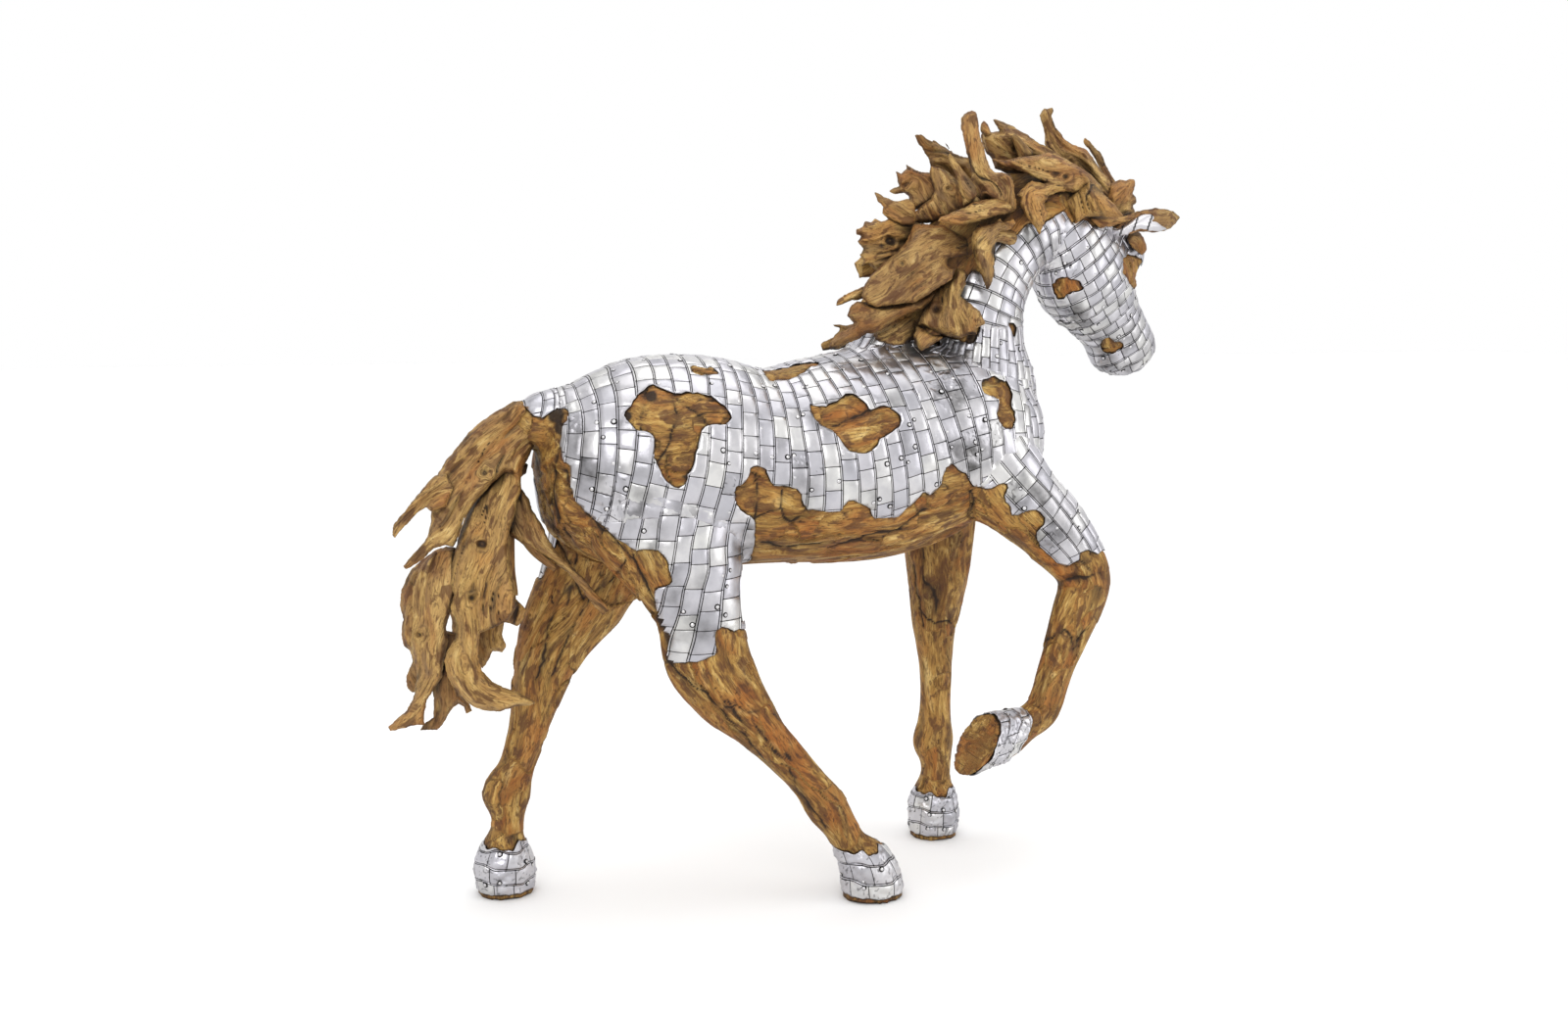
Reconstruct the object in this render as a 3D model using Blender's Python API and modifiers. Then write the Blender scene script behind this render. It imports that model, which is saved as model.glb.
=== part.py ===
"""Life-size walking horse built from root wood and dressed in thin nailed metal plate.

The wooden body is one carved solid that stands on three hooves with the near foreleg raised.
Plate covers the trunk, neck, head, thighs and hooves, with holes that show the wood.
The mane, tail and ears are separate root pieces seated on the body.
+X is the way the horse faces, +Z is up, and the origin is on the floor under the middle.
"""

import math
import random
from functools import partial

import bmesh
import bpy
from mathutils import Matrix, Vector

# Driving sizes, in metres.
HEIGHT = 2.13
UNIT = HEIGHT / 213  # the free forms below are drawn in units of 1 cm on a horse 213 cm tall
CLEARANCE = 0.0005  # between pieces that touch
PLATE = 0.0025  # thickness of the metal

BODY_VOXEL = 1.5 * UNIT
BODY_SMOOTHING = 5
BODY_FACETING = 0.026  # share of the smooth form's facets that are kept
LOFT_SIDES = 16
PLATE_MARGIN = 9  # how far past the plate's edge a root still keeps clear of the plate, in units
FINE_EDGE = 12  # a facet edge longer than this is halved where a plate's edge crosses it, in units
EDGE_SHARE = (0.15, 0.85)  # a plate's edge crosses a facet edge no nearer to its ends than this
SHARPEST_LEAN = 0.5  # limits how far a point moves where a surface folds sharply
ROOT_SIDES = 5
ROOT_KNOTS = 0.14  # unevenness of a root's sections

# Stations along each limb: x, y and z of the centre, then the half depth and the half width.
TRUNK = [
    (-78, 0, 118.5, 6, 7),
    (-76.5, 0, 118.5, 13, 13),
    (-71, 0, 118, 19.5, 19.5),
    (-61, 0, 117.5, 25, 24.5),
    (-48, 0, 117.5, 28, 27.5),
    (-33, 0, 117, 28, 27.5),
    (-18, 0, 115.5, 26, 27),
    (-4, 0, 116.5, 27.5, 27.5),
    (12, 0, 118, 29, 27),
    (26, 0, 120.5, 28.5, 25.5),
    (39, 0, 123, 25, 24),
    (50, 0, 122, 19.5, 20),
    (59, 0, 119, 13, 15),
    (63.5, 0, 118, 6, 8),
]
DOCK = [
    (-62, 0, 128, 12, 13),
    (-71, 0, 129.5, 8.5, 10),
    (-78, 0, 129, 6.8, 7),
    (-82, 0, 127, 5.5, 5.5),
    (-84.5, 0, 125, 3.5, 3.5),
]
NECK = [
    (29, 0, 126, 24, 17),
    (44, 0, 137, 20.3, 16),
    (45.5, 0, 148, 14.3, 13),
    (46.8, 0, 158, 12.8, 10.8),
    (51, 0.5, 167.5, 12, 9.5),
    (57.5, 1.5, 176, 11.5, 9),
    (67, 3, 181, 11, 9),
    (74, 4.5, 181, 9, 8.5),
]
CREST = [
    (14, 0, 142, 8, 9),
    (22, 0, 152, 9, 7),
    (31, 0, 164, 10, 6),
    (40, 0, 175, 10, 5.5),
    (51, 0.5, 184, 9, 5.5),
    (63, 2, 189, 7, 5.5),
    (76, 4, 188, 6, 5.5),
    (84, 5, 183, 4, 4.5),
]
NEAR_HIND = [
    (-54, -10, 123, 22, 14),
    (-49, -13.5, 107, 21, 13),
    (-43.5, -16.5, 91, 15, 11),
    (-40.5, -18.5, 79, 11.2, 9),
    (-39, -19.5, 69, 11.4, 7),
    (-34, -20, 60, 9.6, 6.2),
    (-25, -20, 49, 6.5, 5.4),
    (-17.5, -20, 40, 5.2, 4.8),
    (-11, -20, 32.5, 4.8, 4.5),
    (-6.5, -20, 26.5, 5.6, 5),
    (-2, -20.3, 19.5, 4.6, 4.5),
    (1.5, -20.6, 13, 4.8, 4.8),
]
FAR_HIND = [
    (-52, 10, 123, 22, 14),
    (-53.5, 12.5, 107, 20, 13),
    (-58, 14.5, 93, 15.5, 11),
    (-64.5, 15, 80, 12.5, 9),
    (-71, 15, 70, 10.5, 7.5),
    (-75, 15, 60, 8, 6.5),
    (-77.5, 15, 50.5, 6.1, 5.4),
    (-80, 15, 42, 5.1, 4.8),
    (-83, 15, 34, 4.8, 4.5),
    (-85.6, 15, 27.5, 6.8, 5.2),
    (-85.3, 15, 22, 4.6, 4.5),
    (-85.8, 15.2, 14, 4.5, 4.6),
]
FAR_FORE = [
    (36, 11, 125, 16, 11),
    (40, 13.5, 111, 13.5, 10),
    (43, 16, 97, 11, 8.6),
    (43.6, 17, 86, 9.6, 7.6),
    (43.6, 17.7, 75, 8, 6.8),
    (43, 18, 64, 6.3, 5.9),
    (43.6, 18, 52, 5, 5),
    (43.6, 18, 41, 4.5, 4.5),
    (43.5, 18, 35, 5, 4.6),
    (43, 18, 29.5, 6.2, 5.2),
    (44, 18.2, 23.5, 4.7, 4.4),
    (44, 18.6, 14, 4.5, 4.6),
]
NEAR_FORE = [
    (36, -11, 127, 17, 10),
    (44, -14, 115, 14.5, 10),
    (52.3, -17, 105.5, 11.4, 9.2),
    (61, -18.5, 97.5, 10, 7.8),
    (67, -19.5, 90, 9, 6.6),
    (70.8, -20, 83, 7.5, 6),
    (68.8, -20, 75, 7.2, 5.3),
    (65.8, -20, 66, 6, 4.8),
    (62.6, -20, 58, 5.1, 4.5),
    (60.5, -20, 51.5, 4.8, 4.4),
    (58, -20, 46, 5.2, 4.6),
    (53, -20.3, 43.2, 4.9, 4.7),
    (48.5, -21.2, 42, 6, 5.8),
    (42, -22.2, 40.6, 7, 6.8),
    (36, -23, 39.5, 7.2, 7),
    (28, -24, 38, 7.2, 7),
]
NEAR_HIND_HOOF = [
    (1.5, -20.6, 15.5, 4.6, 4.6),
    (2.6, -20.8, 13, 6, 5.9),
    (5, -21, 8.5, 7.5, 7.1),
    (6.7, -21, 3, 8.3, 7.4),
    (7, -21, -4, 8, 7.2),
]
FAR_HIND_HOOF = [
    (-85.8, 15.2, 17, 4.4, 4.4),
    (-86, 15.3, 14, 6, 5.8),
    (-86.3, 15.5, 8.5, 8, 7.4),
    (-86, 15.5, 3, 7.7, 7.2),
    (-85.8, 15.5, -4, 6.8, 6.6),
]
FAR_FORE_HOOF = [
    (44, 18.6, 17.5, 4.4, 4.4),
    (44, 18.8, 14.5, 6, 5.8),
    (43.8, 19, 9, 7.4, 7),
    (43.8, 19, 3, 7.2, 6.9),
    (44, 19, -4, 6.6, 6.5),
]

# The raised hoof is cut off square to this direction, through this point of its sole.
RAISED_SOLE = (36.3, -23, 39.6)
RAISED_SOLE_FACES = (-0.85, -0.22, 0.48)
RAISED_FETLOCK = NEAR_FORE[-5]  # the cut touches nothing further from that point than this
RAISED_HOOF = NEAR_FORE[-3]

# The body plate is everything inside these outlines, drawn on the side of the horse in x and z.
# One is for the near side, which is the horse's right, and the other for the far side.
NEAR_PLATE_OUTLINE = [
    (-88, 131), (-86, 142), (-60, 150), (0, 150), (13, 148), (24, 149), (31, 146), (36, 148),
    (41, 147), (44, 152), (38, 159), (41, 166), (48, 175), (53, 177), (59, 179), (64, 182),
    (70, 184), (78, 181), (84, 180), (90, 186), (114, 182), (120, 128), (82, 104), (76, 92),
    (71, 91), (67, 91), (64, 88), (60, 87), (56, 91), (53, 96), (55, 100), (53, 103), (47, 102),
    (44, 106), (43, 110), (39, 109), (34, 111), (30, 114), (27, 116), (24, 113), (22, 110),
    (17, 107), (12, 103), (6, 102), (3, 105), (-4, 106), (-14, 106), (-16, 110), (-20, 113),
    (-24, 114), (-27, 117), (-31, 116), (-34, 112), (-31, 106), (-27, 102), (-22, 96), (-22, 77),
    (-31, 74), (-36, 76), (-39, 75), (-40, 70), (-46, 68), (-51, 69), (-51, 75), (-53, 83),
    (-54, 87), (-50, 89), (-52, 94), (-54, 97), (-60, 99), (-66, 104), (-70, 108), (-72, 113),
    (-73, 119), (-75, 124), (-73, 130), (-78, 129), (-82, 132),
]
FAR_PLATE_OUTLINE = [
    (-88, 131), (-86, 142), (-60, 150), (0, 150), (12, 149), (22, 147), (30, 149), (38, 147),
    (43, 152), (40, 161), (44, 169), (51, 177), (58, 180), (66, 184), (74, 184), (84, 180),
    (90, 186), (114, 182), (120, 128), (82, 100), (70, 98), (62, 103), (56, 107), (50, 103),
    (44, 107), (37, 105), (31, 111), (25, 109), (19, 112), (13, 106), (5, 104), (-2, 108),
    (-9, 106), (-15, 103), (-21, 108), (-27, 111), (-31, 106), (-34, 98), (-38, 90), (-47, 83),
    (-54, 75), (-60, 73), (-66, 76), (-72, 72), (-79, 75), (-84, 82), (-80, 98), (-77, 112),
    (-75, 122), (-73, 130), (-78, 129), (-82, 132),
]

# Holes in the plate that show the wood, on the near side in x and z.
HAUNCH_HOLE = [
    (-60, 131), (-57, 135), (-53, 138), (-47, 136), (-39, 136), (-33, 131), (-35, 128),
    (-41, 128), (-44, 120), (-48, 113), (-51, 115), (-54, 124), (-57, 128),
]
FLANK_HOLE = [
    (-12, 133), (-5, 133), (2, 134), (5, 132), (10, 132), (13, 128), (10, 126), (5, 122),
    (1, 120), (-3, 122), (-7, 126), (-11, 128),
]
SHOULDER_HOLE = [
    (39, 137), (43, 139), (47, 137), (50, 132), (48, 125), (44, 124), (42, 130), (43, 133), (39, 134),
]
CHEEK_HOLE = [(71, 163), (73, 166), (77, 166), (79, 164), (78, 162), (75, 161), (72, 160)]
EYE_HOLE = [(95, 174), (104, 176), (104, 160), (100, 162), (97, 168)]
# The far side has the same kind of holes in other places: outline, move in x, move in z.
FAR_HOLES = [(HAUNCH_HOLE, 4, -3), (FLANK_HOLE, -9, 4), (SHOULDER_HOLE, -2, -6)]
BACK_HOLE = (-11, -7, 9, 4.5)  # x and y of its middle on the back, half length, half width
BACK_HOLE_FROM = 130  # the hole in the back cuts only what lies above this height

SIDE_BLEND = 12  # the near outline changes to the far one over this width across the back

# The wood between the legs is bare: its ends in x, its top, its half width there, and how far
# down it grows wider by one unit.
BARE_INSIDE = (-76, 80, 103, 9, 4)

# Bands of plate round the hooves: height above the sole of the lower and of the upper edge.
HOOF_BAND = (1.8, 14)
RAISED_HOOF_BAND = (1.8, 11.5)
HOOF_BAND_REACH = 15  # from the hoof's middle
HOOF_BAND_WAVES = ((0.6, 3, 0), (0.4, 5, 1))  # height, number of waves round the hoof, start

# Root pieces of the mane, from the withers to the brow: x, y, z, half depth and half width.
# Each is cut to seat on the body and against the pieces that come before it in the list.
MANE = {
    "mane_knot_plank": [
        (42, -5, 175, 5, 3),
        (30, -11, 172, 6.5, 4),
        (20, -13, 167, 7, 4),
        (12.5, -13, 162, 5.5, 3.4),
        (7, -12, 159, 2.4, 2),
    ],
    "mane_lower_root": [
        (37, -6, 168, 3, 3),
        (28, -9, 162, 3.6, 3),
        (17, -12, 156.5, 4, 3),
        (8.5, -10, 152, 3.6, 3),
        (1, -8, 149, 1.5, 1.5),
    ],
    "mane_wedge": [
        (36, -8, 167, 2.5, 2.5),
        (33.5, -11, 161, 5, 3.2),
        (32.5, -12.5, 156, 7.5, 4),
        (34, -12, 151, 7, 4),
    ],
    "mane_tall_stump": [
        (50, -5, 183, 6, 4),
        (46, -8, 188, 6, 4),
        (42, -9, 194, 3.3, 3.2),
        (40.5, -8, 202, 2.6, 2.6),
        (39.5, -7, 210, 2.3, 2.3),
    ],
    "mane_sweep": [
        (55, -5, 180.5, 3, 3),
        (44, -12, 180.5, 3.8, 3),
        (34, -12.5, 180.5, 2.6, 2.2),
        (26.5, -11, 180.5, 1.6, 1.6),
        (22, -10, 181.5, 0.6, 0.6),
    ],
    "mane_hook": [
        (53, -7, 177, 2.6, 2.4),
        (45, -12, 177, 3, 2.6),
        (40.5, -13, 173.5, 3, 2.6),
        (41.5, -13, 168, 2.6, 2.2),
        (44, -13, 163, 0.6, 0.6),
    ],
    "mane_hooked_piece": [
        (74, -2, 190.5, 2.5, 2.5),
        (66, -5, 191.5, 2.8, 2.5),
        (58.5, -8, 188.5, 3, 2.6),
        (59, -9.5, 183.5, 2.8, 2.2),
        (61.5, -9.5, 178.5, 0.6, 0.6),
    ],
    "mane_triangle": [
        (80, -1, 192, 3, 3),
        (80.5, -4, 188, 5.5, 3.2),
        (83, -6, 184, 7, 3.4),
        (85, -6, 182, 6, 3),
    ],
    "mane_long_plank": [
        (88, 1, 190, 3, 3),
        (76, -3, 195, 3.6, 3),
        (64, -5, 196.5, 3.8, 3.2),
        (55, -6, 197.5, 2.6, 2.4),
        (49, -5, 198.5, 1, 1),
    ],
    "mane_thin_spike": [
        (43, -8, 184, 3, 2.5),
        (38, -10, 188.5, 2.5, 2.2),
        (34.5, -10, 193.5, 1.6, 1.6),
        (32.5, -9, 198.5, 0.6, 0.6),
    ],
    "mane_orange_root": [
        (45, -2, 179, 4.5, 3.4),
        (39, -4, 185, 5, 3.4),
        (35, -3, 191, 4, 3),
        (32, -2, 197.5, 1.4, 1.4),
    ],
    "mane_left_burl": [
        (30, -1, 177, 5, 4),
        (20, -4, 176.5, 6, 5),
        (12.5, -6, 174.5, 6.4, 4.4),
        (8.5, -6, 173.5, 3.6, 3),
    ],
    "mane_left_spike": [
        (26, -4, 167, 3, 2.5),
        (16, -6, 164.5, 2.8, 2.2),
        (8.5, -7, 162, 2, 1.8),
        (2, -7, 159.5, 0.6, 0.6),
    ],
    "mane_bottom_burl": [
        (28, -3, 156, 4, 3),
        (21, -6, 153, 5.5, 4),
        (14, -6, 150, 3, 2.5),
    ],
    "mane_bottom_chip": [
        (29, -9, 152, 3, 3),
        (25, -11, 150, 3.5, 2.5),
        (22.5, -11, 147, 2, 2),
    ],
    "mane_upper_burl": [
        (42, 1, 183, 4, 3.5),
        (34, 2, 188.5, 4, 3.5),
        (30, 3, 192, 4, 3),
        (24, 3, 193.5, 2, 2),
    ],
    "mane_upper_spike": [
        (34, -3, 179, 3, 3),
        (28.5, -4, 181.5, 3, 2.5),
        (21, -5, 183, 2.3, 2),
        (13.5, -5, 188.5, 0.6, 0.6),
    ],
    "mane_horn": [
        (54, 3, 191, 4, 4),
        (46, 4, 195, 3.5, 3.5),
        (38, 4, 198.5, 3, 3),
        (31.5, 3, 201, 1.6, 1.6),
        (28.5, 2, 204.5, 0.6, 0.6),
    ],
    "mane_crown": [
        (75, 5, 196, 4, 4),
        (66, 5, 201.5, 4.5, 4),
        (57, 4, 203.5, 4.5, 3.5),
        (51, 3, 204.5, 3, 2.5),
    ],
    "mane_crown_spike": [
        (61, 0, 200, 3, 2.5),
        (55.5, -1.5, 206, 2, 1.8),
        (51, -1.5, 209.5, 0.6, 0.6),
    ],
    "mane_tall_horn": [
        (92, 6, 191, 4, 3.5),
        (84, 7, 198.5, 3.4, 3),
        (76, 7, 203.5, 2.8, 2.6),
        (72, 6, 209, 2.2, 2.2),
        (71, 5, 213, 1.5, 1.5),
    ],
    "mane_right_chunk": [
        (92, 4, 185, 4, 4),
        (95, 4, 189, 4.4, 3.8),
        (98.5, 4, 194, 2, 2),
    ],
    "mane_right_spike": [
        (96, 8, 190, 2.2, 2.2),
        (92.5, 11.5, 199, 1.6, 1.6),
        (86.5, 12, 206.5, 0.6, 0.6),
    ],
    "mane_forelock": [
        (80, -5, 182, 2, 2),
        (86, -6, 180.5, 2, 2),
        (93, -5, 182, 1.8, 1.8),
        (100, -2, 184.5, 1.2, 1.2),
    ],
    "brow_knot": [
        (94.5, -1, 179, 3, 3),
        (98, -1, 177, 2.6, 2.4),
        (99, -1, 173.5, 1.6, 1.6),
    ],
    "mane_far_crown": [
        (78, 8, 191, 4.5, 3.5),
        (70, 13, 188, 5, 3.5),
        (66, 15, 181, 3, 2.5),
        (65, 15, 175, 1, 1),
    ],
    "mane_far_plank": [
        (66, 7, 190, 5, 3.5),
        (57, 13, 185, 6, 3.8),
        (52, 15, 175, 4.5, 3),
        (51, 15, 167, 1.5, 1.5),
    ],
    "mane_far_middle": [
        (54, 6, 186, 5, 3.5),
        (44, 13, 179, 6.5, 4),
        (38, 14, 169, 5.5, 3.5),
        (36, 14, 160, 2, 2),
    ],
    "mane_far_back": [
        (44, 5, 179, 5, 3.5),
        (33, 12, 171, 7, 4),
        (24, 13, 162, 6, 3.5),
        (17, 13, 155, 2.5, 2),
    ],
    "mane_far_root": [
        (33, 5, 163, 4, 3.5),
        (23, 9, 155, 5, 3.5),
        (12, 10, 150, 3, 2.5),
        (3, 8, 147, 1, 1),
    ],
    "mane_far_spike": [
        (51, 5, 189, 3.5, 3),
        (44, 9, 197, 2.8, 2.5),
        (37, 11, 204, 0.8, 0.8),
    ],
    "mane_far_burl": [
        (31, 5, 176, 5, 4),
        (21, 7, 172, 5, 4),
        (13, 7, 168, 2, 2),
    ],
}
TAIL = {
    "tail_root": [
        (-80.5, 0, 128, 6, 6),
        (-88, -2, 122.5, 7.5, 6),
        (-97, -4, 112.5, 7.5, 5),
        (-105, -5, 103, 5.5, 4),
        (-110, -5, 98.5, 2.5, 2),
    ],
    "tail_front_lock": [
        (-86, -3, 118, 5, 4),
        (-90.5, -8, 103, 6, 4),
        (-96.5, -10, 89, 6.5, 4),
        (-98.5, -11, 75, 7, 3.6),
        (-96, -12, 64.5, 6.5, 3),
        (-84, -12.5, 59, 2, 1.8),
    ],
    "tail_middle_lock": [
        (-91, -2, 116, 6, 4.5),
        (-98, -4, 102, 6.5, 4.4),
        (-103, -4, 89, 6, 4.2),
        (-104.5, -4, 76, 5.5, 4),
        (-108, -4, 64, 4.2, 3),
        (-116.5, -4, 53, 1, 1),
    ],
    "tail_rear_lock": [
        (-97, 1, 105, 5.5, 4.5),
        (-106, 2, 92.5, 5, 4),
        (-110.5, 2, 78, 4, 3.2),
        (-110, 2, 62, 1.8, 1.6),
    ],
    "tail_upper_spike": [
        (-95, -7, 119, 3.5, 3),
        (-104, -8, 113.5, 2.5, 2.2),
        (-111, -8, 108, 1.8, 1.6),
        (-116, -8, 103, 0.6, 0.6),
    ],
    "tail_branch": [
        (-85, -3, 109, 3, 3),
        (-81.5, -7, 98, 2.4, 2.2),
        (-73, -11, 90, 1.8, 1.6),
        (-63.5, -14, 81.5, 1, 1),
    ],
    "tail_right_lock": [
        (-88, -2, 103, 4, 3.5),
        (-87, -2, 92, 3.8, 3.2),
        (-86, -3, 82, 3.8, 3),
        (-88, -3, 75, 2.2, 2),
        (-87.5, -3, 70, 0.8, 0.8),
    ],
    "tail_lower_tip": [
        (-102, 0, 76, 4, 3.5),
        (-105, 0, 63, 3, 2.6),
        (-108, 0, 52, 0.8, 0.8),
    ],
    "tail_far_lock": [
        (-86, 3, 117, 5, 4),
        (-92, 8, 101, 5, 4),
        (-96, 9, 85, 4.5, 3.5),
        (-97, 9, 69, 2, 2),
    ],
}
EARS = {
    "near_ear": [
        (91, -5, 180.5, 2.5, 2.4),
        (97.5, -4, 183, 3.8, 1.9),
        (105, -1.5, 184, 3.8, 1.7),
        (111, 0.5, 184.5, 2.4, 1.3),
        (115, 2, 184, 0.7, 0.6),
    ],
    "far_ear": [
        (83, 10, 182, 2.5, 2.4),
        (88, 13, 186, 3.6, 1.9),
        (94, 16, 189.5, 3.2, 1.6),
        (99, 18, 192, 0.7, 0.6),
    ],
}
EAR_PLATE_ENDS = (96, 109)  # where the near ear's plate starts and stops, in x
EAR_LIP_DROP = 1.5  # from the ear's second section down to the plate's lower edge
EAR_PLATE_SIDE = 0.5  # y of the plate's edge on the far side of the near ear

SHARP_ANGLE = math.radians(45)  # facets that meet at more than this show their edge
METAL_COLOUR = (0.72, 0.72, 0.74)
WOOD_COLOUR = Vector((0.42, 0.22, 0.08))
WOOD_TONES = (0.8, 1.16)

ACROSS = Vector((0, 1, 0))  # every section's width lies along this
LIMBS = (TRUNK, DOCK, NECK, CREST, NEAR_HIND, FAR_HIND, FAR_FORE, NEAR_FORE)
HOOVES = (NEAR_HIND_HOOF, FAR_HIND_HOOF, FAR_FORE_HOOF)

# The head is drawn on its own axis, from the poll to the muzzle: distance along it, how far the
# section's centre lies towards the forehead, then the half depth and the half width.
POLL = (77.5, 5, 181.5)
HEAD_YAW = math.radians(25)
HEAD_PITCH = math.radians(50)
HEAD = [
    (-8, -1, 5, 5),
    (-5, -1, 9, 8),
    (2, -2, 13.5, 10.5),
    (10, -2.3, 16.8, 12),
    (18, -1.8, 16.8, 12.5),
    (26, -1.2, 14.2, 10.5),
    (33, -0.4, 12, 9.4),
    (40, 0.5, 10.8, 9.3),
    (46, 0.8, 10.2, 9.2),
    (51, 1, 8.4, 7.8),
    (53.5, 1, 4.8, 4.6),
]


def unit_vector(vector):
    return Vector(vector).normalized()


def new_object(name, bm):
    """Make a mesh object out of a bmesh and link it to the scene."""
    mesh = bpy.data.meshes.new(name)
    bm.to_mesh(mesh)
    bm.free()
    obj = bpy.data.objects.new(name, mesh)
    bpy.context.scene.collection.objects.link(obj)
    return obj


def skin_rings(bm, rings):
    """Join rings of points into one closed tube with flat ends."""
    made = [[bm.verts.new(point) for point in ring] for ring in rings]
    for ring, following in zip(made, made[1:]):
        count = len(ring)
        for i in range(count):
            j = (i + 1) % count
            bm.faces.new((ring[i], ring[j], following[j], following[i]))
    bm.faces.new(reversed(made[0]))
    bm.faces.new(made[-1])


def section_ring(centre, along, lateral, depth, width, sides):
    """An ellipse square to the direction along, its width on the lateral axis."""
    side = (lateral - along * lateral.dot(along)).normalized()
    up = along.cross(side)
    turns = [2 * math.pi * i / sides for i in range(sides)]
    return [centre + side * width * math.cos(t) + up * depth * math.sin(t) for t in turns]


def loft(bm, stations):
    """Loft elliptical sections through stations of x, y, z, half depth and half width, in units."""
    centres = [Vector(station[:3]) * UNIT for station in stations]
    rings = []
    for i, (_, _, _, depth, width) in enumerate(stations):
        ahead = centres[min(i + 1, len(centres) - 1)]
        behind = centres[max(i - 1, 0)]
        along = unit_vector(ahead - behind)
        rings.append(
            section_ring(centres[i], along, ACROSS, depth * UNIT, width * UNIT, LOFT_SIDES)
        )
    skin_rings(bm, rings)


def head_frame():
    """The head's own axes at the poll: X towards the forehead, Y across it, Z to the muzzle."""
    level = Vector((math.cos(HEAD_YAW), math.sin(HEAD_YAW), 0))
    along = level * math.cos(HEAD_PITCH) - Vector((0, 0, math.sin(HEAD_PITCH)))
    across = Vector((-math.sin(HEAD_YAW), math.cos(HEAD_YAW), 0))
    front = along.cross(across)
    frame = Matrix((front, across, along)).transposed().to_4x4()
    frame.translation = Vector(POLL) * UNIT
    return frame


def loft_head(bm):
    frame = head_frame()
    along = frame.to_3x3() @ Vector((0, 0, 1))
    across = frame.to_3x3() @ Vector((0, 1, 0))
    rings = []
    for distance, front, depth, width in HEAD:
        centre = frame @ (Vector((front, 0, distance)) * UNIT)
        ring = section_ring(centre, along, across, depth * UNIT, width * UNIT, LOFT_SIDES)
        rings.append(ring)
    skin_rings(bm, rings)


def evaluated_bmesh(obj):
    """The object's shape with its modifiers, as a bmesh. The object itself is removed."""
    graph = bpy.context.evaluated_depsgraph_get()
    bm = bmesh.new()
    bm.from_object(obj, graph)
    bpy.data.objects.remove(obj)
    return bm


def slice_flat(bm, faces, point, outward):
    """Cut the given faces off square at a plane and close the cut with one flat face."""
    outward = unit_vector(outward)
    geometry = set(faces)
    for face in faces:
        geometry.update(face.verts)
        geometry.update(face.edges)
    cut = bmesh.ops.bisect_plane(
        bm,
        geom=list(geometry),
        dist=0.001,
        plane_co=point,
        plane_no=outward,
        clear_outer=True,
    )
    rim = [item for item in cut["geom_cut"] if isinstance(item, bmesh.types.BMVert)]
    for vert in rim:
        vert.co -= outward * (vert.co - Vector(point)).dot(outward)
    open_edges = [edge for edge in bm.edges if edge.is_boundary]
    filled = bmesh.ops.holes_fill(bm, edges=open_edges, sides=0)
    bmesh.ops.triangulate(bm, faces=filled["faces"])


def build_body():
    """The wooden horse without its mane and tail, one blended form cut flat under the hooves."""
    bm = bmesh.new()
    for limb in LIMBS + HOOVES:
        loft(bm, limb)
    loft_head(bm)
    block = new_object("block", bm)
    remesh = block.modifiers.new("blend", "REMESH")
    remesh.mode = "VOXEL"
    remesh.voxel_size = BODY_VOXEL
    smooth = block.modifiers.new("soften", "SMOOTH")
    smooth.factor = 0.5
    smooth.iterations = BODY_SMOOTHING
    thin = block.modifiers.new("facet", "DECIMATE")
    thin.use_collapse_triangulate = True
    thin.ratio = BODY_FACETING
    bm = evaluated_bmesh(block)
    slice_flat(bm, bm.faces[:], (0, 0, 0), (0, 0, -1))
    sole = Vector(RAISED_SOLE) * UNIT
    reach = (Vector(RAISED_FETLOCK[:3]) * UNIT - sole).length
    near = [face for face in bm.faces if (face.calc_center_median() - sole).length < reach]
    slice_flat(bm, near, sole, RAISED_SOLE_FACES)
    bm.normal_update()
    return new_object("wooden_body", bm)


def outline_depth(outline, u, v):
    """How far the point u, v lies inside a closed outline. It is negative outside."""
    nearest = math.inf
    inside = False
    for (u1, v1), (u2, v2) in zip(outline, outline[1:] + outline[:1]):
        du, dv = u2 - u1, v2 - v1
        share = ((u - u1) * du + (v - v1) * dv) / (du * du + dv * dv)
        share = min(max(share, 0), 1)
        nearest = min(nearest, math.hypot(u - u1 - share * du, v - v1 - share * dv))
        if (v1 > v) != (v2 > v) and u < u1 + (v - v1) / dv * du:
            inside = not inside
    return nearest if inside else -nearest


def body_plate_depth(point):
    """How far a point of the body lies inside the plate's edge, in units."""
    x, y, z = point / UNIT
    near = outline_depth(NEAR_PLATE_OUTLINE, x, z)
    far = outline_depth(FAR_PLATE_OUTLINE, x, z)
    blend = min(max(0.5 + y / SIDE_BLEND, 0), 1)
    depth = near + (far - near) * blend
    if y < 0:
        for hole in (HAUNCH_HOLE, FLANK_HOLE, SHOULDER_HOLE, CHEEK_HOLE, EYE_HOLE):
            depth = min(depth, -outline_depth(hole, x, z))
    else:
        for hole, move_x, move_z in FAR_HOLES:
            depth = min(depth, -outline_depth(hole, x - move_x, z - move_z))
    back_x, back_y, length, width = BACK_HOLE
    if z > BACK_HOLE_FROM:
        off_centre = math.hypot((x - back_x) / length, (y - back_y) / width)
        depth = min(depth, (off_centre - 1) * width)
    back, front, top, half_width, drop = BARE_INSIDE
    if z < top and back < x < front:
        depth = min(depth, abs(y) - half_width - (top - z) / drop)
    return depth


def hoof_band_depth(middle, sole, faces, band, point):
    """How far a point lies inside the band of plate round one hoof, in units."""
    height = -(point / UNIT - Vector(sole)).dot(unit_vector(faces))
    from_middle = point / UNIT - Vector(middle)
    turn = math.atan2(from_middle.y, from_middle.x)
    wave = sum(high * math.sin(count * turn + start) for high, count, start in HOOF_BAND_WAVES)
    reach = HOOF_BAND_REACH - from_middle.length
    return min(height - band[0], band[1] + wave - height, reach)


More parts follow.
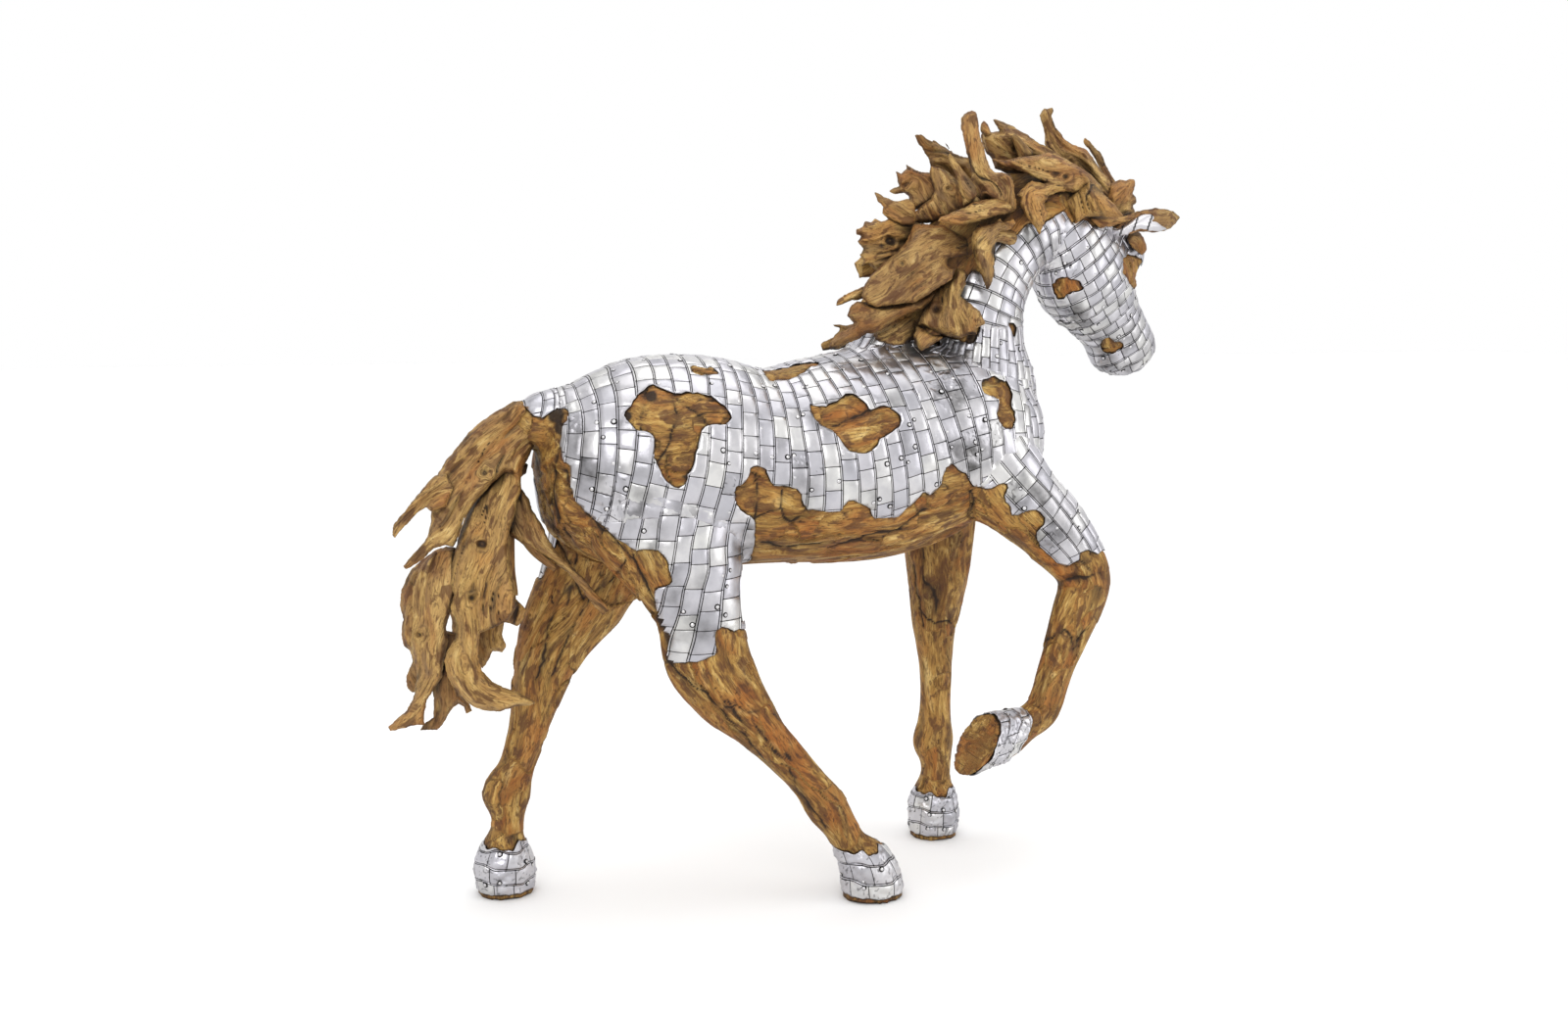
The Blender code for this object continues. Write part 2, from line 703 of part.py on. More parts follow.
def trimmed_sheet(source, depth_of):
    """The part of a surface where depth_of is positive, with its edge cut along the zero line.

    Each point carries the offset direction that keeps a plate on it even and clear of the surface.
    """
    bm = source.copy()
    inside = {vert: depth_of(vert.co) > 0 for vert in bm.verts}
    along_rim = []
    for edge in bm.edges:
        start, end = edge.verts
        if inside[start] != inside[end] and edge.calc_length() > FINE_EDGE * UNIT:
            along_rim.append(edge)
    bmesh.ops.subdivide_edges(bm, edges=along_rim, cuts=1)
    bmesh.ops.triangulate(bm, faces=bm.faces[:])
    bm.normal_update()
    offsets = {}
    depths = {}
    for vert in bm.verts:
        lean = min(vert.normal.dot(face.normal) for face in vert.link_faces)
        offsets[vert] = vert.normal / max(lean, SHARPEST_LEAN)
        depths[vert] = depth_of(vert.co)
    crossing = [e for e in bm.edges if (depths[e.verts[0]] > 0) != (depths[e.verts[1]] > 0)]
    fresh = set()
    for edge in crossing:
        start, end = edge.verts
        share = depths[start] / (depths[start] - depths[end])
        share = min(max(share, EDGE_SHARE[0]), EDGE_SHARE[1])
        offset = offsets[start].lerp(offsets[end], share)
        _, vert = bmesh.utils.edge_split(edge, start, share)
        offsets[vert] = offset
        depths[vert] = 0
        fresh.add(vert)
    for face in bm.faces[:]:
        cut = [vert for vert in face.verts if vert in fresh]
        if len(cut) == 2:
            bmesh.utils.face_split(face, cut[0], cut[1])
    outside = [f for f in bm.faces if any(depths[v] <= 0 and v not in fresh for v in f.verts)]
    bmesh.ops.delete(bm, geom=outside, context="FACES")
    return bm, offsets


def plate_on(name, source, depth_of):
    """A metal plate of even thickness that lies on a surface wherever depth_of is positive."""
    sheet, offsets = trimmed_sheet(source, depth_of)
    for island in islands_of(sheet)[1:]:
        bmesh.ops.delete(sheet, geom=island, context="FACES")
    bmesh.ops.triangulate(sheet, faces=sheet.faces[:])
    plate = bmesh.new()
    under = {}
    over = {}
    for vert in sheet.verts:
        under[vert] = plate.verts.new(vert.co + offsets[vert] * CLEARANCE)
        over[vert] = plate.verts.new(vert.co + offsets[vert] * (CLEARANCE + PLATE))
    for face in sheet.faces:
        plate.faces.new([over[vert] for vert in face.verts])
        plate.faces.new([under[vert] for vert in reversed(face.verts)])
    for edge in sheet.edges:
        if edge.is_boundary:
            loop = edge.link_loops[0]
            start, end = loop.vert, loop.link_loop_next.vert
            plate.faces.new((under[start], under[end], over[end], over[start]))
    sheet.free()
    bmesh.ops.triangulate(plate, faces=plate.faces[:])
    return new_object(name, plate)


def islands_of(bm):
    """The connected groups of faces, largest first."""
    left = set(bm.faces)
    islands = []
    while left:
        front = [left.pop()]
        island = []
        while front:
            face = front.pop()
            island.append(face)
            for edge in face.edges:
                for other in edge.link_faces:
                    if other in left:
                        left.remove(other)
                        front.append(other)
        islands.append(island)
    return sorted(islands, key=len, reverse=True)


def seat_on(body):
    """A cutter the shape of the body and its plate, larger all round by the clearance."""
    bm = bmesh.new()
    bm.from_mesh(body.data)
    bm.normal_update()
    moves = {}
    for vert in bm.verts:
        lean = min(vert.normal.dot(face.normal) for face in vert.link_faces)
        plated = body_plate_depth(vert.co) > -PLATE_MARGIN
        rise = 2 * CLEARANCE + PLATE if plated else CLEARANCE
        moves[vert] = vert.normal / max(lean, SHARPEST_LEAN) * rise
    for vert, move in moves.items():
        vert.co += move
    return new_object("seat", bm)


def root_piece(name, stations, seed, grow=0):
    """One knotty root: a loft with uneven sections, larger all round by grow."""
    knots = random.Random(seed)
    bm = bmesh.new()
    centres = [Vector(station[:3]) * UNIT for station in stations]
    first = (centres[0] - centres[1]).normalized()
    last = (centres[-1] - centres[-2]).normalized()
    rings = []
    for i, (_, _, _, depth, width) in enumerate(stations):
        ahead = centres[min(i + 1, len(centres) - 1)]
        behind = centres[max(i - 1, 0)]
        along = unit_vector(ahead - behind)
        ring = section_ring(Vector(), along, ACROSS, depth * UNIT, width * UNIT, ROOT_SIDES)
        middle = centres[i]
        if i == 0:
            middle = middle + first * grow
        if i == len(centres) - 1:
            middle = middle + last * grow
        points = []
        for point in ring:
            point = point * knots.uniform(1 - ROOT_KNOTS, 1 + ROOT_KNOTS)
            points.append(middle + point + point.normalized() * grow)
        rings.append(points)
    skin_rings(bm, rings)
    bmesh.ops.triangulate(bm, faces=bm.faces[:])
    return new_object(name, bm)


def boxes_meet(first, second, gap):
    """Whether two meshes' boxes come closer than gap."""
    for axis in range(3):
        low1 = min(vert.co[axis] for vert in first.data.vertices)
        high1 = max(vert.co[axis] for vert in first.data.vertices)
        low2 = min(vert.co[axis] for vert in second.data.vertices)
        high2 = max(vert.co[axis] for vert in second.data.vertices)
        if low1 > high2 + gap or low2 > high1 + gap:
            return False
    return True


def cut_away(obj, cutters):
    """Subtract the cutters from a piece and keep the largest body that is left."""
    name = obj.name
    obj.name = name + ".raw"
    for cutter in cutters:
        cut = obj.modifiers.new("fit to " + cutter.name, "BOOLEAN")
        cut.operation = "DIFFERENCE"
        cut.solver = "EXACT"
        cut.object = cutter
    bm = evaluated_bmesh(obj)
    for island in islands_of(bm)[1:]:
        bmesh.ops.delete(bm, geom=island, context="FACES")
    loose = [vert for vert in bm.verts if not vert.link_faces]
    bmesh.ops.delete(bm, geom=loose, context="VERTS")
    bmesh.ops.triangulate(bm, faces=bm.faces[:])
    return new_object(name, bm)


def fit_roots(groups, seat):
    """Make the root pieces in order, each cut to clear the body and the pieces before it."""
    made = []
    grown = []
    seed = 1
    for group in groups:
        for name, stations in group.items():
            piece = root_piece(name, stations, seed)
            cutters = [other for other in grown if boxes_meet(piece, other, CLEARANCE)]
            if boxes_meet(piece, seat, CLEARANCE):
                cutters.insert(0, seat)
            fitted = cut_away(piece, cutters)
            made.append(fitted)
            grown.append(root_piece(name + ".room", stations, seed, CLEARANCE))
            seed += 1
    for cutter in grown:
        bpy.data.objects.remove(cutter)
    return made


def material(name, colour, roughness, metallic):
    made = bpy.data.materials.new(name)
    made.use_nodes = True
    shader = made.node_tree.nodes["Principled BSDF"]
    shader.inputs["Base Color"].default_value = (*colour, 1)
    shader.inputs["Roughness"].default_value = roughness
    shader.inputs["Metallic"].default_value = metallic
    return made


def gather(objects, collection):
    """Move objects into a collection and give each its own material, wood or metal."""
    for i, obj in enumerate(objects):
        for old in list(obj.users_collection):
            old.objects.unlink(obj)
        collection.objects.link(obj)
        if "plate" in obj.name:
            looks = material(obj.name, METAL_COLOUR, 0.35, 1)
        else:
            tone = random.Random(i).uniform(*WOOD_TONES)
            looks = material(obj.name, WOOD_COLOUR * tone, 0.6, 0)
        obj.data.materials.append(looks)
        obj.data.shade_smooth()
        obj.data.set_sharp_from_angle(angle=SHARP_ANGLE)


def ear_plate_depth(point):
    """The near ear's plate covers the back of the ear and leaves its tip and lower lip bare."""
    x, y, z = point / UNIT
    above_lip = z - (EARS["near_ear"][1][2] - EAR_LIP_DROP)
    return min(x - EAR_PLATE_ENDS[0], EAR_PLATE_ENDS[1] - x, EAR_PLATE_SIDE - y, above_lip)


def main():
    for obj in list(bpy.data.objects):
        bpy.data.objects.remove(obj)
    horse = bpy.data.collections.new("wood and metal horse")
    bpy.context.scene.collection.children.link(horse)

    body = build_body()
    surface = bmesh.new()
    surface.from_mesh(body.data)
    pieces = [body, plate_on("body_plate", surface, body_plate_depth)]
    standing = ((0, 0, 0), (0, 0, -1), HOOF_BAND)
    raised = (RAISED_SOLE, RAISED_SOLE_FACES, RAISED_HOOF_BAND)
    hooves = {
        "near_hind_hoof_plate": (NEAR_HIND_HOOF[2], standing),
        "far_hind_hoof_plate": (FAR_HIND_HOOF[2], standing),
        "far_fore_hoof_plate": (FAR_FORE_HOOF[2], standing),
        "near_fore_hoof_plate": (RAISED_HOOF, raised),
    }
    for name, (middle, band) in hooves.items():
        depth_of = partial(hoof_band_depth, middle[:3], *band)
        pieces.append(plate_on(name, surface, depth_of))
    surface.free()

    seat = seat_on(body)
    roots = fit_roots((EARS, MANE, TAIL), seat)
    bpy.data.objects.remove(seat)
    pieces += roots

    ear = bmesh.new()
    ear.from_mesh(roots[0].data)
    pieces.append(plate_on("near_ear_plate", ear, ear_plate_depth))
    ear.free()
    gather(pieces, horse)


main()
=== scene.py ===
"""The visual model of a life-size horse of root wood dressed in nailed metal plate.

The wooden body, the plates and every root of the mane and tail are built here as fine meshes
that stand for the CAD nodes. Tables are in centimetres in the CAD frame, or in the picture's
pixels where they say so: +X is the way the horse faces, +Z is up, and near is the horse's right
side, towards -Y.
"""

import math

import bmesh
import bpy
import numpy as np
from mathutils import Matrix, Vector
from mathutils.bvhtree import BVHTree


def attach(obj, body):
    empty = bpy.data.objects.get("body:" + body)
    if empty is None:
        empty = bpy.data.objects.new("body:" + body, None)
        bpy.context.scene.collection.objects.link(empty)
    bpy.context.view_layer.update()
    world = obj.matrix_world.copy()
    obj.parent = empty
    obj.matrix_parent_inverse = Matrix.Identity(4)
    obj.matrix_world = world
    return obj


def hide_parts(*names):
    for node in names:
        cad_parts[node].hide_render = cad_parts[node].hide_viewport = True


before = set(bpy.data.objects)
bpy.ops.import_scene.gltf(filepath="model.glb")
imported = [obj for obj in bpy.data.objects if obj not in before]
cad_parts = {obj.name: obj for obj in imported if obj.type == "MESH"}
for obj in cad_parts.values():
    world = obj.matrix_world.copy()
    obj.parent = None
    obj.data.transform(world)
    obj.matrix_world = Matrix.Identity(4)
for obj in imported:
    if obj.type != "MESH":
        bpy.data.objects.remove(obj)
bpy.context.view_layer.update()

CM = 0.01
UP = np.array((0.0, 0.0, 1.0))
DOWN = np.array((0.0, 0.0, -1.0))
ACROSS = np.array((0.0, 1.0, 0.0))
FULL_TURN = 2 * np.pi
TINY = 1e-9

# Stations along each limb: x, y and z of the centre, then the half depth and the half width.
TRUNK = [
    (-78, 0, 118.5, 6, 7), (-76.5, 0, 118.5, 13, 13), (-71, 0, 118, 19.5, 19.5),
    (-61, 0, 117.5, 25, 24.5), (-48, 0, 117.5, 28, 27.5), (-33, 0, 117, 28, 27.5),
    (-18, 0, 115.5, 26, 27), (-4, 0, 116.5, 27.5, 27.5), (12, 0, 118, 29, 27),
    (26, 0, 120.5, 28.5, 25.5), (39, 0, 123, 25, 24), (50, 0, 122, 19.5, 20),
    (59, 0, 119, 13, 15), (63.5, 0, 118, 6, 8),
]
DOCK = [
    (-62, 0, 128, 12, 13), (-71, 0, 129.5, 8.5, 10), (-78, 0, 129, 6.8, 7),
    (-82, 0, 127, 5.5, 5.5), (-84.5, 0, 125, 3.5, 3.5),
]
NECK = [
    (29, 0, 126, 24, 17), (44, 0, 137, 20.3, 16), (45.5, 0, 148, 14.3, 13),
    (46.8, 0, 158, 12.8, 10.8), (51, 0.5, 167.5, 12, 9.5), (57.5, 1.5, 176, 11.5, 9),
    (67, 3, 181, 11, 9), (74, 4.5, 181, 9, 8.5),
]
CREST = [
    (14, 0, 142, 8, 9), (22, 0, 152, 9, 7), (31, 0, 164, 10, 6), (40, 0, 175, 10, 5.5),
    (51, 0.5, 184, 9, 5.5), (63, 2, 189, 7, 5.5), (76, 4, 188, 6, 5.5), (84, 5, 183, 4, 4.5),
]
NEAR_HIND = [
    (-54, -10, 123, 22, 14), (-49, -13.5, 107, 21, 13), (-43.5, -16.5, 91, 15, 11),
    (-40.5, -18.5, 79, 11.2, 9), (-39, -19.5, 69, 11.4, 7), (-34, -20, 60, 9.6, 6.2),
    (-25, -20, 49, 6.5, 5.4), (-17.5, -20, 40, 5.2, 4.8), (-11, -20, 32.5, 4.8, 4.5),
    (-6.5, -20, 26.5, 5.6, 5), (-2, -20.3, 19.5, 4.6, 4.5), (1.5, -20.6, 13, 4.8, 4.8),
]
FAR_HIND = [
    (-52, 10, 123, 22, 14), (-53.5, 12.5, 107, 20, 13), (-58, 14.5, 93, 15.5, 11),
    (-64.5, 15, 80, 12.5, 9), (-71, 15, 70, 10.5, 7.5), (-75, 15, 60, 8, 6.5),
    (-77.5, 15, 50.5, 6.1, 5.4), (-80, 15, 42, 5.1, 4.8), (-83, 15, 34, 4.8, 4.5),
    (-85.6, 15, 27.5, 6.8, 5.2), (-85.3, 15, 22, 4.6, 4.5), (-85.8, 15.2, 14, 4.5, 4.6),
]
FAR_FORE = [
    (36, 11, 125, 16, 11), (40, 13.5, 111, 13.5, 10), (43, 16, 97, 11, 8.6),
    (43.6, 17, 86, 9.6, 7.6), (43.6, 17.7, 75, 8, 6.8), (43, 18, 64, 6.3, 5.9),
    (43.6, 18, 52, 5, 5), (43.6, 18, 41, 4.5, 4.5), (43.5, 18, 35, 5, 4.6),
    (43, 18, 29.5, 6.2, 5.2), (44, 18.2, 23.5, 4.7, 4.4), (44, 18.6, 14, 4.5, 4.6),
]
NEAR_FORE = [
    (36, -11, 127, 17, 10), (44, -14, 115, 14.5, 10), (52.3, -17, 105.5, 11.4, 9.2),
    (61, -18.5, 97.5, 10, 7.8), (67, -19.5, 90, 9, 6.6), (70.8, -20, 83, 7.5, 6),
    (68.8, -20, 75, 7.2, 5.3), (65.8, -20, 66, 6, 4.8), (62.6, -20, 58, 5.1, 4.5),
    (60.5, -20, 51.5, 4.8, 4.4), (58, -20, 46, 5.2, 4.6), (53, -20.3, 43.2, 4.9, 4.7),
    (48.5, -21.2, 42, 6, 5.8), (42, -22.2, 40.6, 7, 6.8), (36, -23, 39.5, 7.2, 7),
    (28, -24, 38, 7.2, 7),
]
NEAR_HIND_HOOF = [
    (1.5, -20.6, 15.5, 4.6, 4.6), (2.6, -20.8, 13, 6, 5.9), (5, -21, 8.5, 7.5, 7.1),
    (6.7, -21, 3, 8.3, 7.4), (7, -21, -4, 8, 7.2),
]
FAR_HIND_HOOF = [
    (-85.8, 15.2, 17, 4.4, 4.4), (-86, 15.3, 14, 6, 5.8), (-86.3, 15.5, 8.5, 8, 7.4),
    (-86, 15.5, 3, 7.7, 7.2), (-85.8, 15.5, -4, 6.8, 6.6),
]
FAR_FORE_HOOF = [
    (44, 18.6, 17.5, 4.4, 4.4), (44, 18.8, 14.5, 6, 5.8), (43.8, 19, 9, 7.4, 7),
    (43.8, 19, 3, 7.2, 6.9), (44, 19, -4, 6.6, 6.5),
]
# The head on its own axis: distance from the poll, how far towards the forehead, depth, width.
POLL = np.array((77.5, 5, 181.5))
HEAD_YAW = math.radians(25)
HEAD_PITCH = math.radians(50)
HEAD = [
    (-8, -1, 5, 5), (-5, -1, 9, 8), (2, -2, 13.5, 10.5), (10, -2.3, 16.8, 12),
    (18, -1.8, 16.8, 12.5), (26, -1.4, 14, 10.5), (33, -1.1, 11.2, 9.4), (40, -0.3, 9.8, 9.3),
    (46, 0.3, 9.7, 9.2), (51, 1, 8.4, 7.8), (53.5, 1, 4.8, 4.6),
]
CHIN = [(37, -4.6, 4.4, 5), (41, -6.2, 5.6, 6), (46, -5.8, 5.2, 6), (50, -4, 3.4, 4.5)]
BROW = [(9, 8.6, 3, 3), (14, 10.6, 4, 4.2), (19, 10.8, 4.2, 4.4), (24, 9, 3, 3.4)]
BROW_SIDE = -7.5
# The raised hoof: its sole's middle, the way the sole faces, and how far the fetlock is from it.
RAISED_SOLE = np.array((36.3, -23, 39.6))
RAISED_SOLE_FACES = np.array((-0.85, -0.22, 0.48))
RAISED_FETLOCK = 17.3

# How finely the body is made. Its voxels, its cuts and the height of a foot are in metres.
BODY_STEP = 1.6
BODY_SIDES = 36
BODY_VOXEL = 0.0101
BODY_SMOOTHING = 14
SOFTENING = 0.5
COARSE_STEP = 3.0
LEAST_HALF = 0.3
CUT_TOLERANCE = 0.00001
NEAR_FLOOR = 0.03


def unit(v):
    v = np.asarray(v, float)
    return v / np.maximum(np.linalg.norm(v, axis=-1, keepdims=True), TINY)


def travelled(steps):
    """How far along each point is, from the steps between them."""
    return np.concatenate(([0], np.cumsum(steps)))


def turns_round(sides):
    return FULL_TURN * np.arange(sides) / sides


def smooth_stations(stations, step):
    """Points of a smooth curve through the stations, about step apart, in every column."""
    p = np.array(stations, float)
    h = np.linalg.norm(np.diff(p[:, :3], axis=0), axis=1)
    slope = np.diff(p, axis=0) / h[:, None]
    m = np.empty_like(p)
    m[0], m[-1] = slope[0], slope[-1]
    m[1:-1] = (slope[:-1] * h[1:, None] + slope[1:] * h[:-1, None]) / (h[1:] + h[:-1])[:, None]
    rows = []
    for i, length in enumerate(h):
        n = max(1, round(length / step))
        t = np.arange(n)[:, None] / n
        rows.append(
            (2 * t**3 - 3 * t**2 + 1) * p[i]
            + (t**3 - 2 * t**2 + t) * length * m[i]
            + (3 * t**2 - 2 * t**3) * p[i + 1]
            + (t**3 - t**2) * length * m[i + 1]
        )
    rows.append(p[-1:])
    out = np.vstack(rows)
    out[:, 3:] = np.maximum(out[:, 3:], LEAST_HALF)
    return out


class Limb:
    """A limb's centre line with its own axes and its section at each point of it."""

    def __init__(self, stations, step, along=None, lateral=ACROSS):
        rows = smooth_stations(stations, step)
        self.centre = rows[:, :3]
        self.depth = rows[:, 3] if rows.shape[1] > 3 else None
        self.width = rows[:, 4] if rows.shape[1] > 4 else None
        if along is None:
            self.along = unit(np.gradient(self.centre, axis=0))
        else:
            self.along = np.tile(along, (len(rows), 1))
        side = lateral - self.along * (self.along @ lateral)[:, None]
        self.side = unit(side)
        self.up = np.cross(self.along, self.side)
        self.reach = travelled(np.linalg.norm(np.diff(self.centre, axis=0), axis=1))

    def rings(self, sides):
        turn = turns_round(sides)
        return (
            self.centre[:, None]
            + self.side[:, None] * (self.width[:, None] * np.cos(turn))[..., None]
            + self.up[:, None] * (self.depth[:, None] * np.sin(turn))[..., None]
        )

    def nearest(self, points):
        """For each point: how far out it is (1 on the surface) and its local coordinates."""
        best = np.full(len(points), np.inf)
        local = np.zeros((len(points), 3))
        mean = (self.depth + self.width) / 2
        for j in range(len(self.centre)):
            d = points - self.centre[j]
            a = d @ self.side[j]
            b = d @ self.up[j]
            c = d @ self.along[j]
            q = (a / self.width[j]) ** 2 + (b / self.depth[j]) ** 2 + (c / mean[j]) ** 2
            closer = q < best
            best[closer] = q[closer]
            local[closer, 0] = a[closer]
            local[closer, 1] = b[closer]
            local[closer, 2] = (self.reach[j] + c)[closer]
        return np.sqrt(best), local


level = np.array((math.cos(HEAD_YAW), math.sin(HEAD_YAW), 0))
HEAD_ALONG = level * math.cos(HEAD_PITCH) - UP * math.sin(HEAD_PITCH)
HEAD_ACROSS = np.array((-math.sin(HEAD_YAW), math.cos(HEAD_YAW), 0))
HEAD_FRONT = np.cross(HEAD_ALONG, HEAD_ACROSS)


def head_stations(table, side=0.0):
    rows = []
    for distance, front, depth, width in table:
        centre = POLL + HEAD_ALONG * distance + HEAD_FRONT * front + HEAD_ACROSS * side
        rows.append((*centre, depth, width))
    return rows


def make_limbs(step):
    return {
        "trunk": Limb(TRUNK, step), "dock": Limb(DOCK, step), "neck": Limb(NECK, step),
        "crest": Limb(CREST, step), "near_hind": Limb(NEAR_HIND, step),
        "far_hind": Limb(FAR_HIND, step), "far_fore": Limb(FAR_FORE, step),
        "near_fore": Limb(NEAR_FORE, step), "near_hind_hoof": Limb(NEAR_HIND_HOOF, step),
        "far_hind_hoof": Limb(FAR_HIND_HOOF, step), "far_fore_hoof": Limb(FAR_FORE_HOOF, step),
        "head": Limb(head_stations(HEAD), step, HEAD_ALONG, HEAD_ACROSS),
        "chin": Limb(head_stations(CHIN), step, HEAD_ALONG, HEAD_ACROSS),
        "brow": Limb(head_stations(BROW, BROW_SIDE), step, HEAD_ALONG, HEAD_ACROSS),
    }


# Noise

# A mixing of whole numbers that gives each corner of a grid its own value.
HASH_STEPS = (73856093, 19349663, 83492791)
HASH_SEED = (40503, 977)
HASH_MIX = ((15, 2246822519), (13, 3266489917))
WORD = 0xFFFFFFFF
HALF_WORD = 0xFFFF


def lattice(i, j, k, seed):
    """A value from -1 to 1 for each corner, the same each time."""
    n = (i * HASH_STEPS[0]) ^ (j * HASH_STEPS[1]) ^ (k * HASH_STEPS[2])
    n = (n ^ (seed * HASH_SEED[0] + HASH_SEED[1])) & WORD
    for shift, factor in HASH_MIX:
        n = ((n ^ (n >> shift)) * factor) & WORD
    n ^= n >> 16
    return (n & HALF_WORD) / (HALF_WORD / 2) - 1


def noise(points, seed=0):
    """Smooth noise from -1 to 1 with one lump per unit."""
    base = np.floor(points).astype(np.int64)
    f = points - base
    f = f * f * (3 - 2 * f)
    total = 0
    for corner in range(8):
        a, b, c = corner & 1, corner >> 1 & 1, corner >> 2
        weight = (
            (f[..., 0] if a else 1 - f[..., 0])
            * (f[..., 1] if b else 1 - f[..., 1])
            * (f[..., 2] if c else 1 - f[..., 2])
        )
        value = lattice(base[..., 0] + a, base[..., 1] + b, base[..., 2] + c, seed)
        total = total + weight * value
    return total


def roughness(points, layers):
    """Layers of noise added up, each with its height, the length of its lumps and its seed."""
    return sum(height * noise(points / length, seed) for height, length, seed in layers)


def smoothstep(low, high, x):
    t = np.clip((x - low) / (high - low), 0, 1)
    return t * t * (3 - 2 * t)


def ridge(x, middle, half_width, top=1):
    """A ridge with straight sides round a middle, cut off flat at 1 where its top is higher."""
    return np.clip(top - abs(x - middle) / half_width, 0, 1)


# Meshes

def mesh_object(name, points, faces):
    """A smooth mesh object from points in centimetres and a list of faces."""
    mesh = bpy.data.meshes.new(name)
    mesh.from_pydata((np.asarray(points) * CM).tolist(), [], faces)
    mesh.shade_smooth()
    obj = bpy.data.objects.new(name, mesh)
    bpy.context.scene.collection.objects.link(obj)
    return obj


def add_attribute(obj, name, values, kind="FLOAT"):
    layer = obj.data.attributes.new(name, kind, "POINT")
    key = "vector" if kind == "FLOAT_VECTOR" else "value"
    layer.data.foreach_set(key, np.asarray(values, np.float32).ravel())


def vertex_array(mesh, what="co"):
    out = np.empty(len(mesh.vertices) * 3)
    mesh.vertices.foreach_get(what, out)
    return out.reshape(-1, 3)


def grid_quads(index):
    """The quads between neighbours in a grid of point numbers."""
    quads = np.stack((index[:-1, :-1], index[1:, :-1], index[1:, 1:], index[:-1, 1:]), -1)
    return quads.reshape(-1, 4)


def drop_unused(count, faces):
    """The points out of count that the faces use, and the faces renumbered to them."""
    used = np.unique(np.concatenate([np.array(face) for face in faces]))
    renumber = np.full(count, -1)
    renumber[used] = np.arange(len(used))
    return used, [renumber[list(face)].tolist() for face in faces]


# The body's form

def tube_faces(rings, sides, start=0):
    faces = []
    for i in range(rings - 1):
        low = start + i * sides
        for j in range(sides):
            k = (j + 1) % sides
            faces.append((low + j, low + k, low + sides + k, low + sides + j))
    return faces


def cut_flat(bm, faces, point, outward):
    """Cut the given faces off square at a plane and close the cut with a flat face."""
    outward = Vector(outward).normalized()
    # A dictionary, because a set may hold the geometry in another order in another run.
    geometry = dict.fromkeys(faces)
    for face in faces:
        geometry.update(dict.fromkeys(face.verts))
        geometry.update(dict.fromkeys(face.edges))
    bmesh.ops.bisect_plane(
        bm, geom=list(geometry), dist=CUT_TOLERANCE, plane_co=point, plane_no=outward,
        clear_outer=True,
    )
    open_edges = [edge for edge in bm.edges if edge.is_boundary]
    filled = bmesh.ops.holes_fill(bm, edges=open_edges, sides=0)
    bmesh.ops.triangulate(bm, faces=filled["faces"])


def body_form(limbs):
    """The limbs blended into one mesh, cut flat under each standing foot and the raised sole."""
    points = []
    faces = []
    count = 0
    for limb in limbs.values():
        rings = limb.rings(BODY_SIDES)
        n = len(rings)
        points.append(rings.reshape(-1, 3))
        faces += tube_faces(n, BODY_SIDES, count)
        faces.append(tuple(range(count + BODY_SIDES - 1, count - 1, -1)))
        last = count + (n - 1) * BODY_SIDES
        faces.append(tuple(range(last, last + BODY_SIDES)))
        count += n * BODY_SIDES
    rough = mesh_object("rough_body", np.vstack(points), faces)
    remesh = rough.modifiers.new("blend", "REMESH")
    remesh.mode = "VOXEL"
    remesh.voxel_size = BODY_VOXEL
    soften = rough.modifiers.new("soften", "SMOOTH")
    soften.factor = SOFTENING
    soften.iterations = BODY_SMOOTHING
    bm = bmesh.new()
    bm.from_object(rough, bpy.context.evaluated_depsgraph_get())
    bpy.data.objects.remove(rough)
    near_floor = [f for f in bm.faces if f.calc_center_median().z < NEAR_FLOOR]
    cut_flat(bm, near_floor, (0, 0, 0), (0, 0, -1))
    sole = Vector(RAISED_SOLE * CM)
    reach = RAISED_FETLOCK * CM
    near = [f for f in bm.faces if (f.calc_center_median() - sole).length < reach]
    cut_flat(bm, near, sole, RAISED_SOLE_FACES)
    bm.normal_update()
    mesh = bpy.data.meshes.new("wooden_body_form")
    bm.to_mesh(mesh)
    bm.free()
    return mesh


# Where the metal lies. The near side is drawn as the camera sees it, in the picture's pixels.
# The camera's place and target are in centimetres, its focal length in pixels, and PIXEL is the
# size of a pixel at the horse, in centimetres.
CAMERA = np.array((-158.07, -404.07, 159.0))
TARGET = np.array((-11.0, 0.0, 105.0))
FOCAL = 1628.8
PICTURE = (1600, 1030)
PIXEL = 0.264

